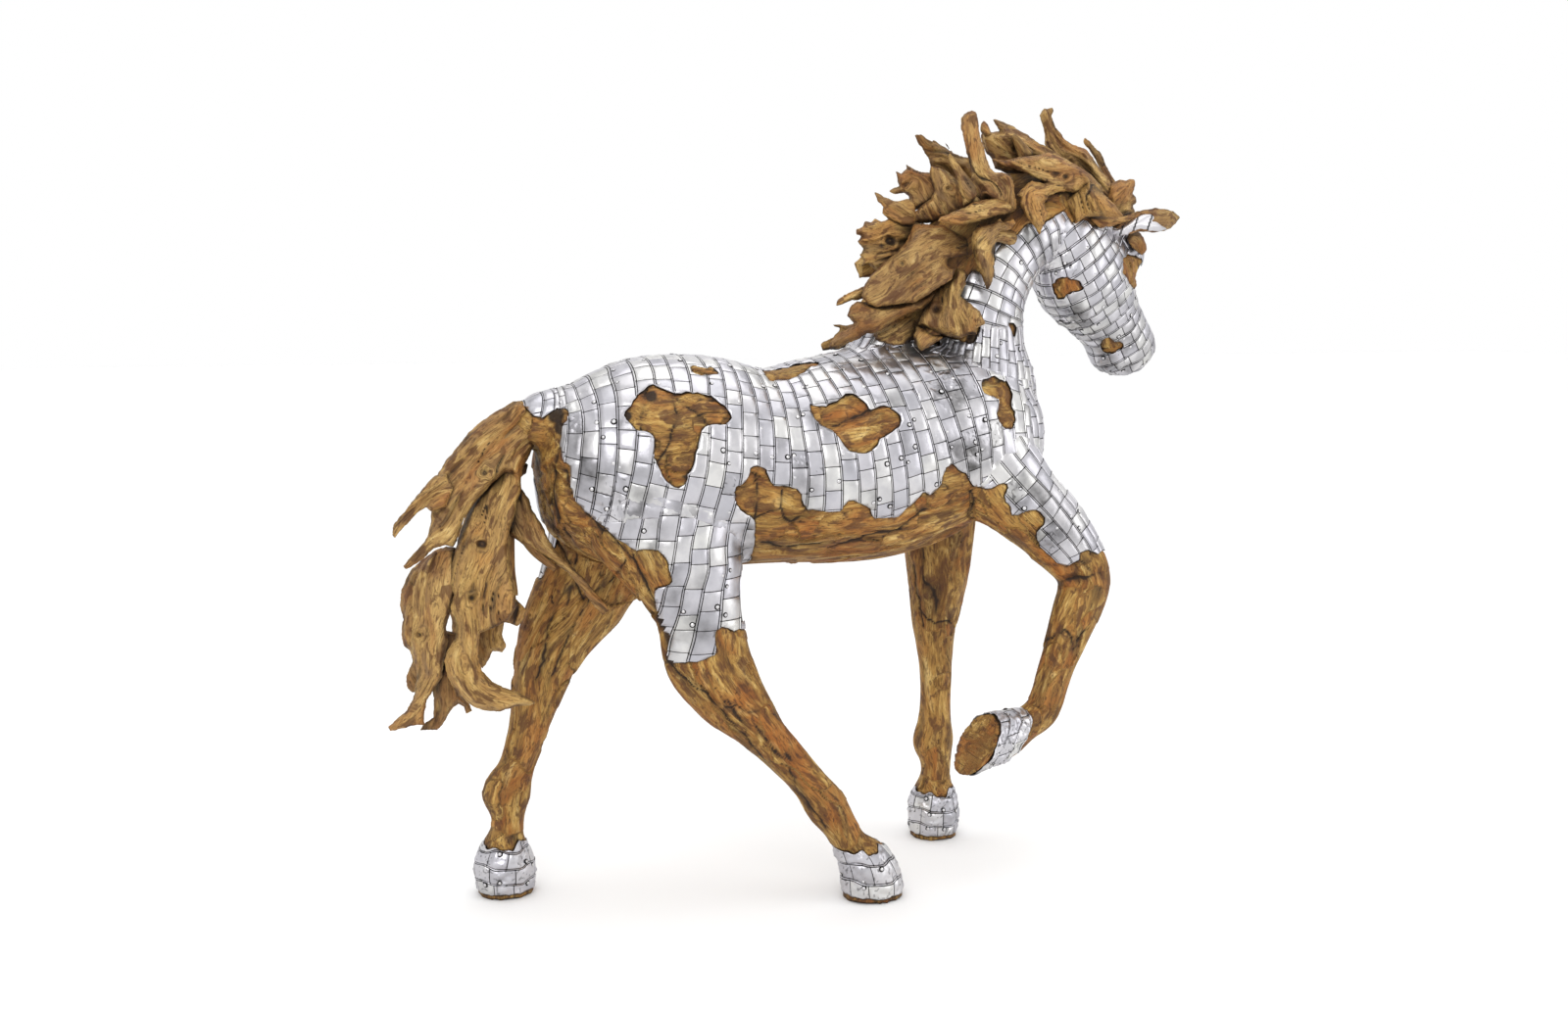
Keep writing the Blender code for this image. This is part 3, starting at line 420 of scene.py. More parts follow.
NEAR_OUTLINE = [
    (563, 420), (570, 417), (577, 417), (581, 422), (580, 427), (576, 433), (574, 441), (573, 450),
    (573, 459), (575, 467), (577, 471), (582, 472), (583, 478), (582, 487), (583, 498), (588, 511),
    (597, 520), (606, 528), (617, 537), (627, 547), (636, 553), (644, 558), (650, 561), (662, 560),
    (669, 561), (675, 563), (680, 570), (683, 578), (685, 587), (687, 592), (684, 597), (677, 599),
    (671, 600), (668, 605), (669, 615), (673, 630), (677, 644), (681, 654), (681, 667), (680, 676),
    (690, 676), (699, 676), (708, 675), (717, 674), (722, 671), (730, 668), (731, 663), (730, 656),
    (730, 649), (731, 644), (736, 640), (745, 642), (749, 645), (754, 642), (759, 640), (759, 628),
    (759, 600), (760, 587), (763, 576), (768, 559), (770, 541), (770, 530), (768, 528), (760, 524),
    (751, 515), (749, 502), (751, 496), (760, 492), (764, 485), (764, 477), (771, 475), (777, 477),
    (782, 478), (783, 485), (786, 490), (790, 495), (796, 496), (804, 497), (812, 498), (816, 502),
    (818, 508), (820, 516), (824, 520), (829, 519), (837, 521), (846, 522), (857, 521), (861, 516),
    (866, 510), (871, 510), (879, 514), (886, 517), (889, 519), (889, 524), (893, 529), (900, 528),
    (911, 528), (918, 526), (924, 519), (930, 514), (936, 508), (939, 503), (944, 502), (946, 506),
    (952, 502), (957, 497), (961, 491), (963, 483), (964, 477), (970, 473), (976, 476), (980, 481),
    (986, 483), (991, 492), (993, 496), (1000, 497), (1006, 499), (1012, 497), (1018, 495),
    (1024, 492), (1027, 494), (1029, 498), (1027, 502), (1025, 507), (1027, 512), (1031, 517),
    (1033, 525), (1038, 526), (1043, 523), (1050, 521), (1058, 520), (1062, 523), (1065, 528),
    (1066, 533), (1064, 538), (1060, 541), (1058, 545), (1059, 550), (1062, 557), (1067, 563),
    (1073, 568), (1078, 573), (1085, 577), (1092, 577), (1097, 573), (1101, 570), (1103, 563),
    (1110, 560), (1113, 563), (1120, 565), (1123, 562), (1160, 560), (1160, 480), (1080, 400),
    (1080, 330), (1110, 400), (1200, 400), (1215, 250), (1150, 226), (1148, 229), (1138, 230),
    (1121, 233), (1113, 230), (1109, 225), (1093, 228), (1089, 221), (1086, 215), (1073, 223),
    (1065, 229), (1047, 230), (1042, 235), (1038, 240), (1032, 239), (1025, 239), (1020, 242),
    (1015, 251), (1014, 282), (995, 277), (991, 279), (987, 284), (983, 295), (980, 303),
    (982, 307), (1000, 332), (998, 340), (996, 347), (992, 352), (985, 350), (975, 347),
    (967, 345), (961, 346), (952, 353), (940, 359), (930, 340), (700, 330), (560, 380),
    (530, 400), (532, 412), (545, 424), (555, 427),
]
THIGH_WRAP = [(745, 642), (800, 640), (820, 535), (772, 529), (764, 560), (757, 600)]
HAUNCH_HOLE = [
    (661, 394), (667, 393), (673, 396), (680, 398), (688, 402), (696, 402), (701, 400), (708, 401),
    (717, 402), (722, 403), (727, 405), (732, 409), (736, 413), (740, 415), (744, 421), (747, 426),
    (745, 431), (737, 434), (728, 433), (720, 435), (716, 439), (714, 446), (713, 454), (710, 460),
    (710, 467), (707, 476), (705, 481), (699, 487), (701, 490), (697, 496), (690, 498), (684, 495),
    (678, 489), (675, 483), (670, 474), (667, 463), (667, 454), (668, 448), (665, 443), (659, 441),
    (651, 440), (646, 438), (641, 431), (638, 425), (639, 420), (644, 415), (646, 409), (651, 402),
    (656, 399),
]
FLANK_HOLE = [
    (822, 410), (829, 413), (836, 415), (843, 415), (848, 411), (854, 410), (857, 406), (862, 403),
    (870, 402), (875, 404), (879, 408), (883, 411), (886, 415), (888, 419), (893, 416), (900, 414),
    (907, 415), (913, 419), (918, 424), (919, 431), (917, 436), (911, 441), (904, 445), (898, 448),
    (895, 455), (891, 460), (884, 463), (875, 463), (866, 460), (862, 456), (857, 449), (852, 442),
    (846, 438), (839, 435), (836, 434), (831, 428), (828, 421), (826, 416),
]
BACK_HOLE = [
    (776, 377), (781, 377), (793, 377), (804, 375), (816, 371), (823, 370), (829, 370), (835, 371),
    (837, 374), (830, 376), (825, 378), (819, 382), (813, 386), (804, 389), (793, 390), (786, 390),
    (782, 387), (779, 383),
]
RUMP_HOLE = [
    (703, 374), (710, 374), (713, 376), (720, 376), (727, 376), (731, 380), (738, 384), (732, 384),
    (721, 384), (714, 383), (706, 383), (705, 378),
]
SHOULDER_HOLE = [
    (1000, 392), (1005, 387), (1011, 385), (1014, 383), (1020, 388), (1026, 389), (1031, 396),
    (1033, 403), (1032, 411), (1035, 420), (1036, 430), (1032, 439), (1024, 438), (1019, 430),
    (1016, 426), (1018, 415), (1019, 408), (1013, 405), (1007, 404), (1002, 400),
]
THROAT_HOLE = [(1028, 330), (1036, 329), (1037, 335), (1037, 342), (1034, 347), (1032, 340)]
CHEEK_HOLE = [
    (1073, 291), (1077, 286), (1083, 282), (1089, 283), (1093, 285), (1100, 285), (1103, 289),
    (1106, 295), (1102, 297), (1096, 298), (1090, 300), (1086, 304), (1080, 305), (1078, 301),
    (1074, 298),
]
MUZZLE_HOLE = [
    (1123, 347), (1126, 345), (1132, 343), (1136, 346), (1138, 349), (1143, 348), (1147, 351),
    (1146, 356), (1141, 357), (1138, 360), (1132, 361), (1125, 359), (1123, 354),
]
EYE_HOLE = [
    (1149, 259), (1157, 261), (1163, 263), (1166, 267), (1163, 272), (1160, 280), (1160, 288),
    (1158, 297), (1152, 291), (1148, 284), (1145, 279), (1145, 270), (1146, 263),
]
NEAR_HOLES = (
    HAUNCH_HOLE, FLANK_HOLE, BACK_HOLE, RUMP_HOLE, SHOULDER_HOLE, THROAT_HOLE, CHEEK_HOLE,
    MUZZLE_HOLE, EYE_HOLE,
)

# The far side is drawn in x and z, in centimetres.
FAR_OUTLINE = [
    (-88, 131), (-86, 142), (-60, 150), (0, 150), (12, 149), (22, 147), (30, 149), (38, 147),
    (43, 152), (40, 161), (44, 169), (51, 177), (58, 180), (66, 184), (74, 184), (84, 180),
    (90, 186), (114, 182), (120, 128), (82, 100), (70, 98), (62, 103), (56, 107), (50, 103),
    (44, 107), (37, 105), (31, 111), (25, 109), (19, 112), (13, 106), (5, 104), (-2, 108),
    (-9, 106), (-15, 103), (-21, 108), (-27, 111), (-31, 106), (-34, 100), (-38, 93), (-47, 88),
    (-54, 83), (-60, 85), (-66, 83), (-72, 87), (-79, 85), (-84, 90), (-80, 98), (-77, 112),
    (-75, 122), (-73, 130), (-78, 129), (-82, 132),
]
FAR_HAUNCH_HOLE = [
    (-56, 128), (-53, 132), (-49, 135), (-43, 133), (-35, 133), (-29, 128), (-31, 125),
    (-37, 125), (-40, 117), (-44, 110), (-47, 112), (-50, 121), (-53, 125),
]
FAR_FLANK_HOLE = [
    (-21, 137), (-14, 137), (-7, 138), (-4, 136), (1, 136), (4, 132), (1, 130), (-4, 126),
    (-8, 124), (-12, 126), (-16, 130), (-20, 132),
]
FAR_SHOULDER_HOLE = [
    (37, 131), (41, 133), (45, 131), (48, 126), (46, 119), (42, 118), (40, 124), (41, 127), (37, 128),
]
FAR_HOLES = (FAR_HAUNCH_HOLE, FAR_FLANK_HOLE, FAR_SHOULDER_HOLE)

# How wide the near and far drawings blend over the horse's middle, and on the head.
SIDE_BLEND = 10
HEAD_BLEND = 3
# The middle leans to the far side between two places along x: those, and the middle's y there.
LEANING_MIDDLE = ((40, 80), (0, 5))
# The belly is bare from one x to another and below a z, inside a half width that grows downwards.
BARE_INSIDE = (-76, 80, 103, 9, 4)
RAGGED_METAL = ((0.28, 1.3, 5), (0.2, 0.5, 6))
LIMB_NAMES = []
HEAD_LIMBS = ("head", "chin", "brow")

AHEAD = unit(TARGET - CAMERA)
RIGHT = unit(np.cross(AHEAD, UP))
ABOVE = np.cross(RIGHT, AHEAD)


def picture(points):
    """Where points in centimetres fall in the picture, in pixels."""
    d = points - CAMERA
    depth = d @ AHEAD
    x = PICTURE[0] / 2 + FOCAL * (d @ RIGHT) / depth
    y = PICTURE[1] / 2 - FOCAL * (d @ ABOVE) / depth
    return x, y


class FromCamera:
    """The picture's own plane, in its pixels."""

    @staticmethod
    def flatten(points):
        return (*picture(points), (points - CAMERA) @ AHEAD)

    @staticmethod
    def place(x, y, depth):
        across = (x - PICTURE[0] / 2) * depth / FOCAL
        rise = (PICTURE[1] / 2 - y) * depth / FOCAL
        return (
            CAMERA + AHEAD * depth[..., None] + RIGHT * across[..., None] + ABOVE * rise[..., None]
        )


class FromFarSide:
    """Seen square on from the far side, in steps as large as a pixel."""

    AWAY = 400

    @classmethod
    def flatten(cls, points):
        return -points[:, 0] / PIXEL, -points[:, 2] / PIXEL, cls.AWAY - points[:, 1]

    @classmethod
    def place(cls, x, y, depth):
        return np.stack((-x * PIXEL, cls.AWAY - depth, -y * PIXEL), -1)


def offset_from(start, end, u, v):
    """The steps to points from the nearest place on a straight line from start to end."""
    du, dv = end[0] - start[0], end[1] - start[1]
    share = ((u - start[0]) * du + (v - start[1]) * dv) / max(du * du + dv * dv, TINY)
    share = np.clip(share, 0, 1)
    return u - start[0] - share * du, v - start[1] - share * dv


def outline_depth(outline, u, v):
    """How far points lie inside a closed outline. It is negative outside."""
    ring = np.array(outline, float)
    nearest = np.full(len(u), np.inf)
    inside = np.zeros(len(u), bool)
    for (u1, v1), (u2, v2) in zip(ring, np.roll(ring, -1, axis=0)):
        away, down = offset_from((u1, v1), (u2, v2), u, v)
        np.minimum(nearest, away**2 + down**2, out=nearest)
        if v1 != v2:
            inside ^= ((v1 > v) != (v2 > v)) & (u < u1 + (v - v1) / (v2 - v1) * (u2 - u1))
    nearest = np.sqrt(nearest)
    return np.where(inside, nearest, -nearest)


def plate_depth(points, limb):
    """How far points of the body lie inside the metal, in centimetres. limb names each one's limb."""
    x, y, z = points.T
    px, py = picture(points)
    near = outline_depth(NEAR_OUTLINE, px, py)
    thigh = limb == LIMB_NAMES.index("near_hind")
    wrap = outline_depth(THIGH_WRAP, px[thigh], py[thigh])
    near[thigh] = np.maximum(near[thigh], wrap)
    for hole in NEAR_HOLES:
        near = np.minimum(near, -outline_depth(hole, px, py))
    near *= PIXEL
    far = outline_depth(FAR_OUTLINE, x, z)
    for hole in FAR_HOLES:
        far = np.minimum(far, -outline_depth(hole, x, z))
    ahead = np.isin(limb, [LIMB_NAMES.index(name) for name in HEAD_LIMBS])
    off_middle = y - np.interp(x, *LEANING_MIDDLE)
    sideways = np.where(ahead, (points - POLL) @ HEAD_ACROSS, off_middle)
    half_blend = np.where(ahead, HEAD_BLEND, SIDE_BLEND) / 2
    blend = smoothstep(-1, 1, sideways / half_blend)
    depth = near + (far - near) * blend
    back, front, top, half_width, drop = BARE_INSIDE
    under = (z < top) & (x > back) & (x < front)
    middle = np.abs(y) - half_width - (top - z) / drop
    depth = np.where(under, np.minimum(depth, middle), depth)
    return depth + roughness(points, RAGGED_METAL)


def locate(points, limbs):
    """Which limb each point belongs to, and its place on it: across, up and along."""
    best = np.full(len(points), np.inf)
    which = np.zeros(len(points), int)
    local = np.zeros((len(points), 3))
    for k, limb in enumerate(limbs.values()):
        q, place = limb.nearest(points)
        closer = q < best
        best[closer] = q[closer]
        which[closer] = k
        local[closer] = place[closer]
    return which, local


# Plates

# How far apart a zone's rows are, in centimetres, and how many ways it looks from each.
ZONE_STEP = 0.5
ZONE_SIDES = 144
# How the rows of tiles wander: the waves' length in rows and round the line, how far they go in
# rows and in turns, and how much further on crumpled metal.
WAVE_LENGTHS = (14, 2.2)
WAVE_REACHES = (0.9, 0.016)
CRUMPLED_WANDER = 1.6
LAST_ROW = 1.001
# How far, in centimetres, a step in a limb's own measure reaches, and zones lie over each other.
LIMB_SCALE = 11
OVERLAP = 0.35
# A zone ends where it sees the surface at too much of a slant: the least share, and how fast.
LEAST_FACING = 0.2
FACING_SCALE = 12
FAR_OUTSIDE = -99


class Zone:
    """A stretch of plated surface found by looking outwards from a line inside the body."""

    def __init__(
        self, line, rows_along, size, owns, along=None, clip=None, crumpled=0.0, sides=ZONE_SIDES
    ):
        self.wander = 1 + CRUMPLED_WANDER * crumpled
        self.rows_along = rows_along
        self.size = size
        self.owns = owns
        self.line = Limb(line, ZONE_STEP, along)
        self.sides = sides
        self.clip = clip
        self.crumpled = crumpled
        self.edges = None

    def survey(self, tree):
        line = self.line
        self.turn = FULL_TURN * np.arange(self.sides + 1) / self.sides
        self.look = (
            line.side[:, None] * np.cos(self.turn)[None, :, None]
            + line.up[:, None] * np.sin(self.turn)[None, :, None]
        )
        reach = np.full(self.look.shape[:2], np.nan)
        for i in range(len(line.centre)):
            origin = Vector(line.centre[i] * CM)
            for j in range(self.sides):
                hit = tree.ray_cast(origin, Vector(self.look[i, j]))
                if hit[0] is not None:
                    reach[i, j] = hit[3] / CM
        reach[:, -1] = reach[:, 0]
        self.missed = np.isnan(reach)
        self.point = line.centre[:, None] + self.look * np.nan_to_num(reach)[..., None]
        wrapped = np.concatenate((self.point[:, -2:-1], self.point, self.point[:, 1:2]), axis=1)
        self.find_normals((wrapped[:, 2:] - wrapped[:, :-2]) / 2)

    def find_normals(self, around):
        normal = unit(np.cross(around, np.gradient(self.point, axis=0)))
        outward = np.sign(np.sum(normal * self.look, axis=-1, keepdims=True))
        self.normal = normal * np.where(outward == 0, 1, outward)

    def share_out(self, limbs):
        """How far each point lies inside this zone, in centimetres, and which limb it is on."""
        flat = self.point.reshape(-1, 3)
        q = np.stack([limb.nearest(flat)[0] for limb in limbs.values()], axis=1)
        mine = [LIMB_NAMES.index(name) for name in self.owns]
        others = [i for i in range(q.shape[1]) if i not in mine]
        gap = q[:, others].min(axis=1) - q[:, mine].min(axis=1)
        own = (gap * LIMB_SCALE + OVERLAP).reshape(self.missed.shape)
        facing = np.sum(self.look * self.normal, axis=-1)
        own = np.minimum(own, (facing - LEAST_FACING) * FACING_SCALE)
        if self.clip is not None:
            direction, offset = self.clip
            own = np.minimum(own, self.point @ np.array(direction) - offset)
        self.own = np.where(self.missed, FAR_OUTSIDE, own)
        self.which = q.argmin(axis=1).reshape(own.shape)

    def column(self, t):
        """Where turns t fall among the ways that the zone looks."""
        return (t % FULL_TURN) / FULL_TURN * self.sides

    def sample(self, s, t):
        """Surface points and outward directions at rows s (line steps) and turns t."""
        length, girth = WAVE_LENGTHS
        wobble = np.stack((s / length, girth * np.cos(t), girth * np.sin(t)), -1)
        s = s + WAVE_REACHES[0] * self.wander * noise(wobble, 51)
        t = t + WAVE_REACHES[1] * self.wander**2 * noise(wobble, 52)
        s = np.clip(s, 0, len(self.line.centre) - LAST_ROW)
        j = np.clip(self.column(t), 0, self.sides - 1e-6)
        i0 = s.astype(int)
        j0 = j.astype(int)
        fs = (s - i0)[..., None]
        fj = (j - j0)[..., None]
        out = []
        for grid in (self.point, self.normal):
            low = grid[i0, j0] * (1 - fj) + grid[i0, j0 + 1] * fj
            high = grid[i0 + 1, j0] * (1 - fj) + grid[i0 + 1, j0 + 1] * fj
            out.append(low * (1 - fs) + high * fs)
        return out[0], unit(out[1])


class Curtain(Zone):
    """A zone on one side of the body, found by looking in from outside down each plane."""

    def __init__(self, beside, size, owns, outside, top, bottom):
        super().__init__([(0, 0, 0), (1, 0, 0)], False, size, owns)
        self.line = beside.line
        self.beside = beside
        self.outside = outside
        self.top = top
        self.bottom = bottom

    def survey(self, tree):
        line = self.line
        self.edges = self.beside.edges
        share = np.arange(self.sides + 1) / self.sides
        self.turn = FULL_TURN * share
        height = self.top + (self.bottom - self.top) * share
        inward = Vector((0, -math.copysign(1, self.outside), 0))
        self.point = np.zeros((len(line.centre), self.sides + 1, 3))
        self.missed = np.zeros(self.point.shape[:2], bool)
        self.look = np.zeros_like(self.point) - np.array(inward)
        for i, centre in enumerate(line.centre):
            rise = (height - centre[2]) / line.up[i][2]
            origins = centre + line.up[i] * rise[:, None]
            origins[:, 1] = self.outside
            for j in range(self.sides + 1):
                hit = tree.ray_cast(Vector(origins[j] * CM), inward)
                self.missed[i, j] = hit[0] is None
                if hit[0] is not None:
                    self.point[i, j] = np.array(hit[0]) / CM
        self.find_normals(np.gradient(self.point, axis=1))


# Where the metal is crumpled: a place in the picture and how wide the spot is, in pixels.
CRUMPLES = [
    (965, 392, 32), (986, 456, 26), (628, 505, 26), (1082, 272, 26), (742, 486, 15), (1095, 326, 24),
    (1140, 372, 24), (585, 430, 18), (820, 470, 16), (1040, 500, 16), (1068, 548, 18), (1010, 440, 16),
]
# Painted dark reflections on the metal: a place in the picture and how wide each spot is, in pixels.
PAINTED_DARK_REFLECTIONS = [
    (1138, 368, 32), (1100, 322, 26), (607, 488, 22), (655, 545, 22), (712, 640, 20),
    (690, 610, 14), (820, 500, 16), (585, 450, 20), (1072, 545, 26), (985, 465, 22),
    (1050, 505, 22), (756, 555, 16), (1120, 345, 16), (1060, 250, 14), (975, 395, 26),
    (640, 500, 26), (700, 655, 18),
]


def spots_of(table, points, out):
    """Soft round spots placed in the picture, from 0 to 1, at points that face the camera."""
    x, y = picture(points)
    facing = np.sum(unit(CAMERA - points) * out, axis=-1) > 0
    most = 0
    for cx, cy, size in table:
        most = np.maximum(most, np.exp(-((x - cx) ** 2 + (y - cy) ** 2) / size**2))
    return most * facing


def crumpling(points, out):
    return spots_of(CRUMPLES, points, out)


# Painted dark reflections: the listed spots, broken up by noise.
def painted_dark_reflection(points, out):
    return spots_of(PAINTED_DARK_REFLECTIONS, points, out) * smoothstep(-0.7, 0.2, noise(points / 3.2, 17))


# A tile's cross lines near its long and short edges, how far apart the others are, and how much
# closer they are on crumpled metal.
LONG_LINES = (0, 0.11, 0.2, 0.31, 0.46)
SHORT_LINES = (0, 0.14, 0.28)
EVEN_LINES = 1.2
CRUMPLED_CLOSER = 0.85
# The seams: how far a tile stands off the wood, the bead along its long edges, the groove beside
# the bead, the groove at its short edges, and the dark lines in both. Each has a height where it
# needs one, and a half width.
LIFT = 0.3
BEAD = (0.15, 0.18)
GROOVE_AT = 0.26
LONG_GROOVE = (0.1, 0.16)
SHORT_GROOVE = (0.12, 0.2)
LONG_DARK = (0.1, 1.35)
SHORT_DARK = (0.17, 1.1)
# The middle of a tile: how far it swells and leans, its dents, and those of a crumpled one.
SWELL = 0.14
LEAN = 0.22
DENTS = ((0.08, 1.6, 11), (0.16, 4, 12))
CRUMPLE_DENTS = ((0.55, 1.4, 13), (0.3, 0.6, 14))
# Painted crease shade on crumpled metal: the crumpling over which its dark lines come in, and their
# width.
CREASE_SHADE_RANGE = (0.35, 0.75)
CREASE_SHADE_WIDTH = 0.12
# Tiles whose draw is above this share get a stronger painted reflection gradient along their lean.
LEAN_SHADE_SHARE = 0.86
# Nails: the share of tiles with one, how far from the edge, in from the metal's own edge, and off
# the wood they stand, the crown's rise, each ring's radius, rise and darkness, and their tone.
NAIL_SHARE = 0.32
NAIL_FROM_EDGE = 0.9
NAIL_ROOM = 0.9
NAIL_STAND = 0.06
NAIL_CROWN = 0.62
# The rings' darkness is painted shade round the nail head's edge.
NAIL_RINGS = ((0.65, 0.48, 0.0), (1.0, 0.1, 0.85), (1.4, -0.05, 0.9))
NAIL_SIDES = 9
NAIL_TONE = 0.8
SLANTED = (0.3, 0.5, 0.8)
# The widest steps that count along and round a zone, how unevenly tiles are cut, the row where a
# zone with bands along it is measured round, and the longest side that a face may have.
ROUND_STEP = 3
ALONG_STEP = 2
UNEVEN_ROUND = 0.16
UNEVEN_ALONG = 0.12
GIRTH_AT = 0.4
LONGEST_SIDE = 3.2
# How far the cut edge of the metal turns down, and its darkness, which is painted shade along the cut
# edge.
RIM_DROP = 0.1
RIM_SHADE = 0.9


def grid_lines(width, edge, inner):
    """Lines across a tile: close together at both edges and even in the middle."""
    edge = [e for e in edge if e < width * 0.4]
    middle = max(2, round((width - 2 * edge[-1]) / inner))
    between = np.linspace(edge[-1], width - edge[-1], middle + 1)[1:-1]
    return np.concatenate((edge, between, width - np.array(edge[::-1])))


class Sheet:
    """Tiles gathered into one mesh, with the darkness of the seams and of painted shade, each tile's
    tone, and painted dark reflections.
    """

    def __init__(self):
        self.points = []
        self.out = []
        self.base = []
        self.limb = []
        self.own = []
        self.values = []
        self.quads = []
        self.depth = []
        self.nails = []
        self.count = 0

    def lay(self, zone, limbs, draws, mask):
        """Cut a zone into bands of tiles. mask gives how far points lie inside the metal."""
        zone.survey(TREE)
        zone.share_out(limbs)
        first_tile = len(self.base)
        first_nail = len(self.nails)
        along = np.linalg.norm(np.diff(zone.point, axis=0), axis=-1)
        around = np.linalg.norm(np.diff(zone.point, axis=1), axis=-1)
        around = np.minimum(around, ROUND_STEP)
        if zone.rows_along:
            self.lay_along(zone, along, around, draws)
        else:
            self.lay_round(zone, along, around, draws)
        base = np.vstack(self.base[first_tile:])
        limb = np.concatenate(self.limb[first_tile:])
        own = np.concatenate(self.own[first_tile:])
        self.depth.append(np.minimum(mask(base, limb), own))
        fresh = self.nails[first_nail:]
        if fresh:
            spots = np.array([nail[0] for nail in fresh])
            limbs_there = np.array([nail[3] for nail in fresh])
            kept = mask(spots, limbs_there) > NAIL_ROOM
            self.nails[first_nail:] = [nail for nail, keep in zip(fresh, kept) if keep]

    def lay_round(self, zone, along, around, draws):
        """Bands that go round the zone's line."""
        band_size, tile_size = zone.size
        last = len(zone.line.centre) - 1
        if zone.edges is None:
            weight = (zone.own[:-1] > -1).astype(float)
            step = np.sum(along * weight, axis=1) / np.maximum(np.sum(weight, axis=1), 1)
            seen = np.sum(weight, axis=1) > 2
            travel = travelled(np.where(seen, np.minimum(step, ROUND_STEP), ZONE_STEP))
            bands = max(2, round(travel[-1] / band_size))
            even = np.linspace(0, travel[-1], bands + 1)
            zone.edges = np.interp(even, travel, np.arange(last + 1))
        for low, high in zip(zone.edges, zone.edges[1:]):
            girth = travelled(around[int(min((low + high) / 2, last))])
            count = max(4, round(girth[-1] / tile_size))
            shift = draws.uniform(0, 1)
            uneven = draws.uniform(-UNEVEN_ROUND, UNEVEN_ROUND, count)
            cuts = (np.arange(count) + shift + uneven) / count
            cuts = np.append(cuts, cuts[0] + 1) * girth[-1]
            laps = np.floor(cuts / girth[-1])
            turns = np.interp(cuts - laps * girth[-1], girth, zone.turn) + laps * FULL_TURN
            for start, stop, length in zip(turns, turns[1:], np.diff(cuts)):
                self.tile(zone, (low, high), (start, stop), band_size, length, draws)

    def lay_along(self, zone, along, around, draws):
        """Bands that run along the zone's line."""
        band_size, tile_size = zone.size
        count_rows = len(zone.line.centre)
        girth = travelled(around[int(count_rows * GIRTH_AT)])
        bands = max(4, round(girth[-1] / band_size))
        turns = np.interp(np.linspace(0, girth[-1], bands + 1), girth, zone.turn)
        for start, stop in zip(turns, turns[1:]):
            column = int(zone.column((start + stop) / 2))
            travel = travelled(np.minimum(along[:, column], ALONG_STEP))
            tiles = max(2, round(travel[-1] / tile_size))
            cuts = (np.arange(tiles - 1) + draws.uniform(0.2, 0.9)) / tiles
            cuts = cuts + draws.uniform(-UNEVEN_ALONG, UNEVEN_ALONG, tiles - 1) / tiles
            cuts = np.concatenate(([0], cuts, [1])) * travel[-1]
            rows = np.interp(cuts, travel, np.arange(count_rows))
            for low, high, length in zip(rows, rows[1:], np.diff(cuts)):
                self.tile(zone, (low, high), (start, stop), band_size, length, draws)

    def tile(self, zone, rows, turns, width, length, draws):
        """One tile between two rows and two turns. Its long seams lie across its width."""
        tone = draws.uniform(0, 1)
        lean = draws.uniform(-1, 1, 2)
        puff = draws.uniform(0.4, 1.4)
        nail_at = draws.uniform(0, 1, 3)
        share_dark = draws.uniform(0, 1)
        i = int((rows[0] + rows[1]) / 2)
        j = int(zone.column((turns[0] + turns[1]) / 2))
        if zone.own[i, j] < -8:
            return
        crumple = max(zone.crumpled, float(crumpling(zone.point[i, j], zone.normal[i, j])))
        spacing = EVEN_LINES - CRUMPLED_CLOSER * crumple
        a = grid_lines(width, LONG_LINES, spacing)
        b = grid_lines(length, SHORT_LINES, spacing)
        for_rows, for_turns = (b / length, a / width) if zone.rows_along else (a / width, b / length)
        grid_s, grid_t = np.meshgrid(
            rows[0] + for_rows * (rows[1] - rows[0]), turns[0] + for_turns * (turns[1] - turns[0]),
            indexing="ij",
        )
        points, out = zone.sample(grid_s, grid_t)
        i0 = np.clip(grid_s.astype(int), 0, zone.own.shape[0] - 1)
        j0 = zone.column(grid_t).astype(int)
        own = zone.own[i0, j0]
        if own.max() < 0:
            return
        limb = zone.which[i0, j0]
        to_long, to_short = np.meshgrid(
            np.minimum(a, width - a), np.minimum(b, length - b), indexing="ij"
        )
        u, v = np.meshgrid(2 * (a / width) - 1, 2 * (b / length) - 1, indexing="ij")
        if zone.rows_along:
            to_long, to_short, u, v = to_long.T, to_short.T, u.T, v.T
        window = (1 - u**4) * (1 - v**4)
        tilt = lean[0] * u + lean[1] * v
        height = LIFT + BEAD[0] * ridge(to_long, 0, BEAD[1])
        height -= LONG_GROOVE[0] * ridge(to_long, GROOVE_AT, LONG_GROOVE[1])
        height -= SHORT_GROOVE[0] * ridge(to_short, 0, SHORT_GROOVE[1])
        height += window * (SWELL * puff + LEAN * tilt)
        height += window * roughness(points, DENTS)
        height += crumple * window * roughness(points, CRUMPLE_DENTS)
        seam = np.maximum(ridge(to_long, GROOVE_AT, *LONG_DARK), ridge(to_short, 0, *SHORT_DARK))
        # Painted crease shade: dark lines over crumpled metal, put into the seam darkness.
        crease_shade = abs(noise(points / 1.2, 15)) + 0.25 * noise(points / 0.5, 16)
        crease_shade = smoothstep(*CREASE_SHADE_RANGE, crumple) * smoothstep(CREASE_SHADE_WIDTH, 0.0, crease_shade)
        seam = np.maximum(seam, 0.5 * crease_shade)
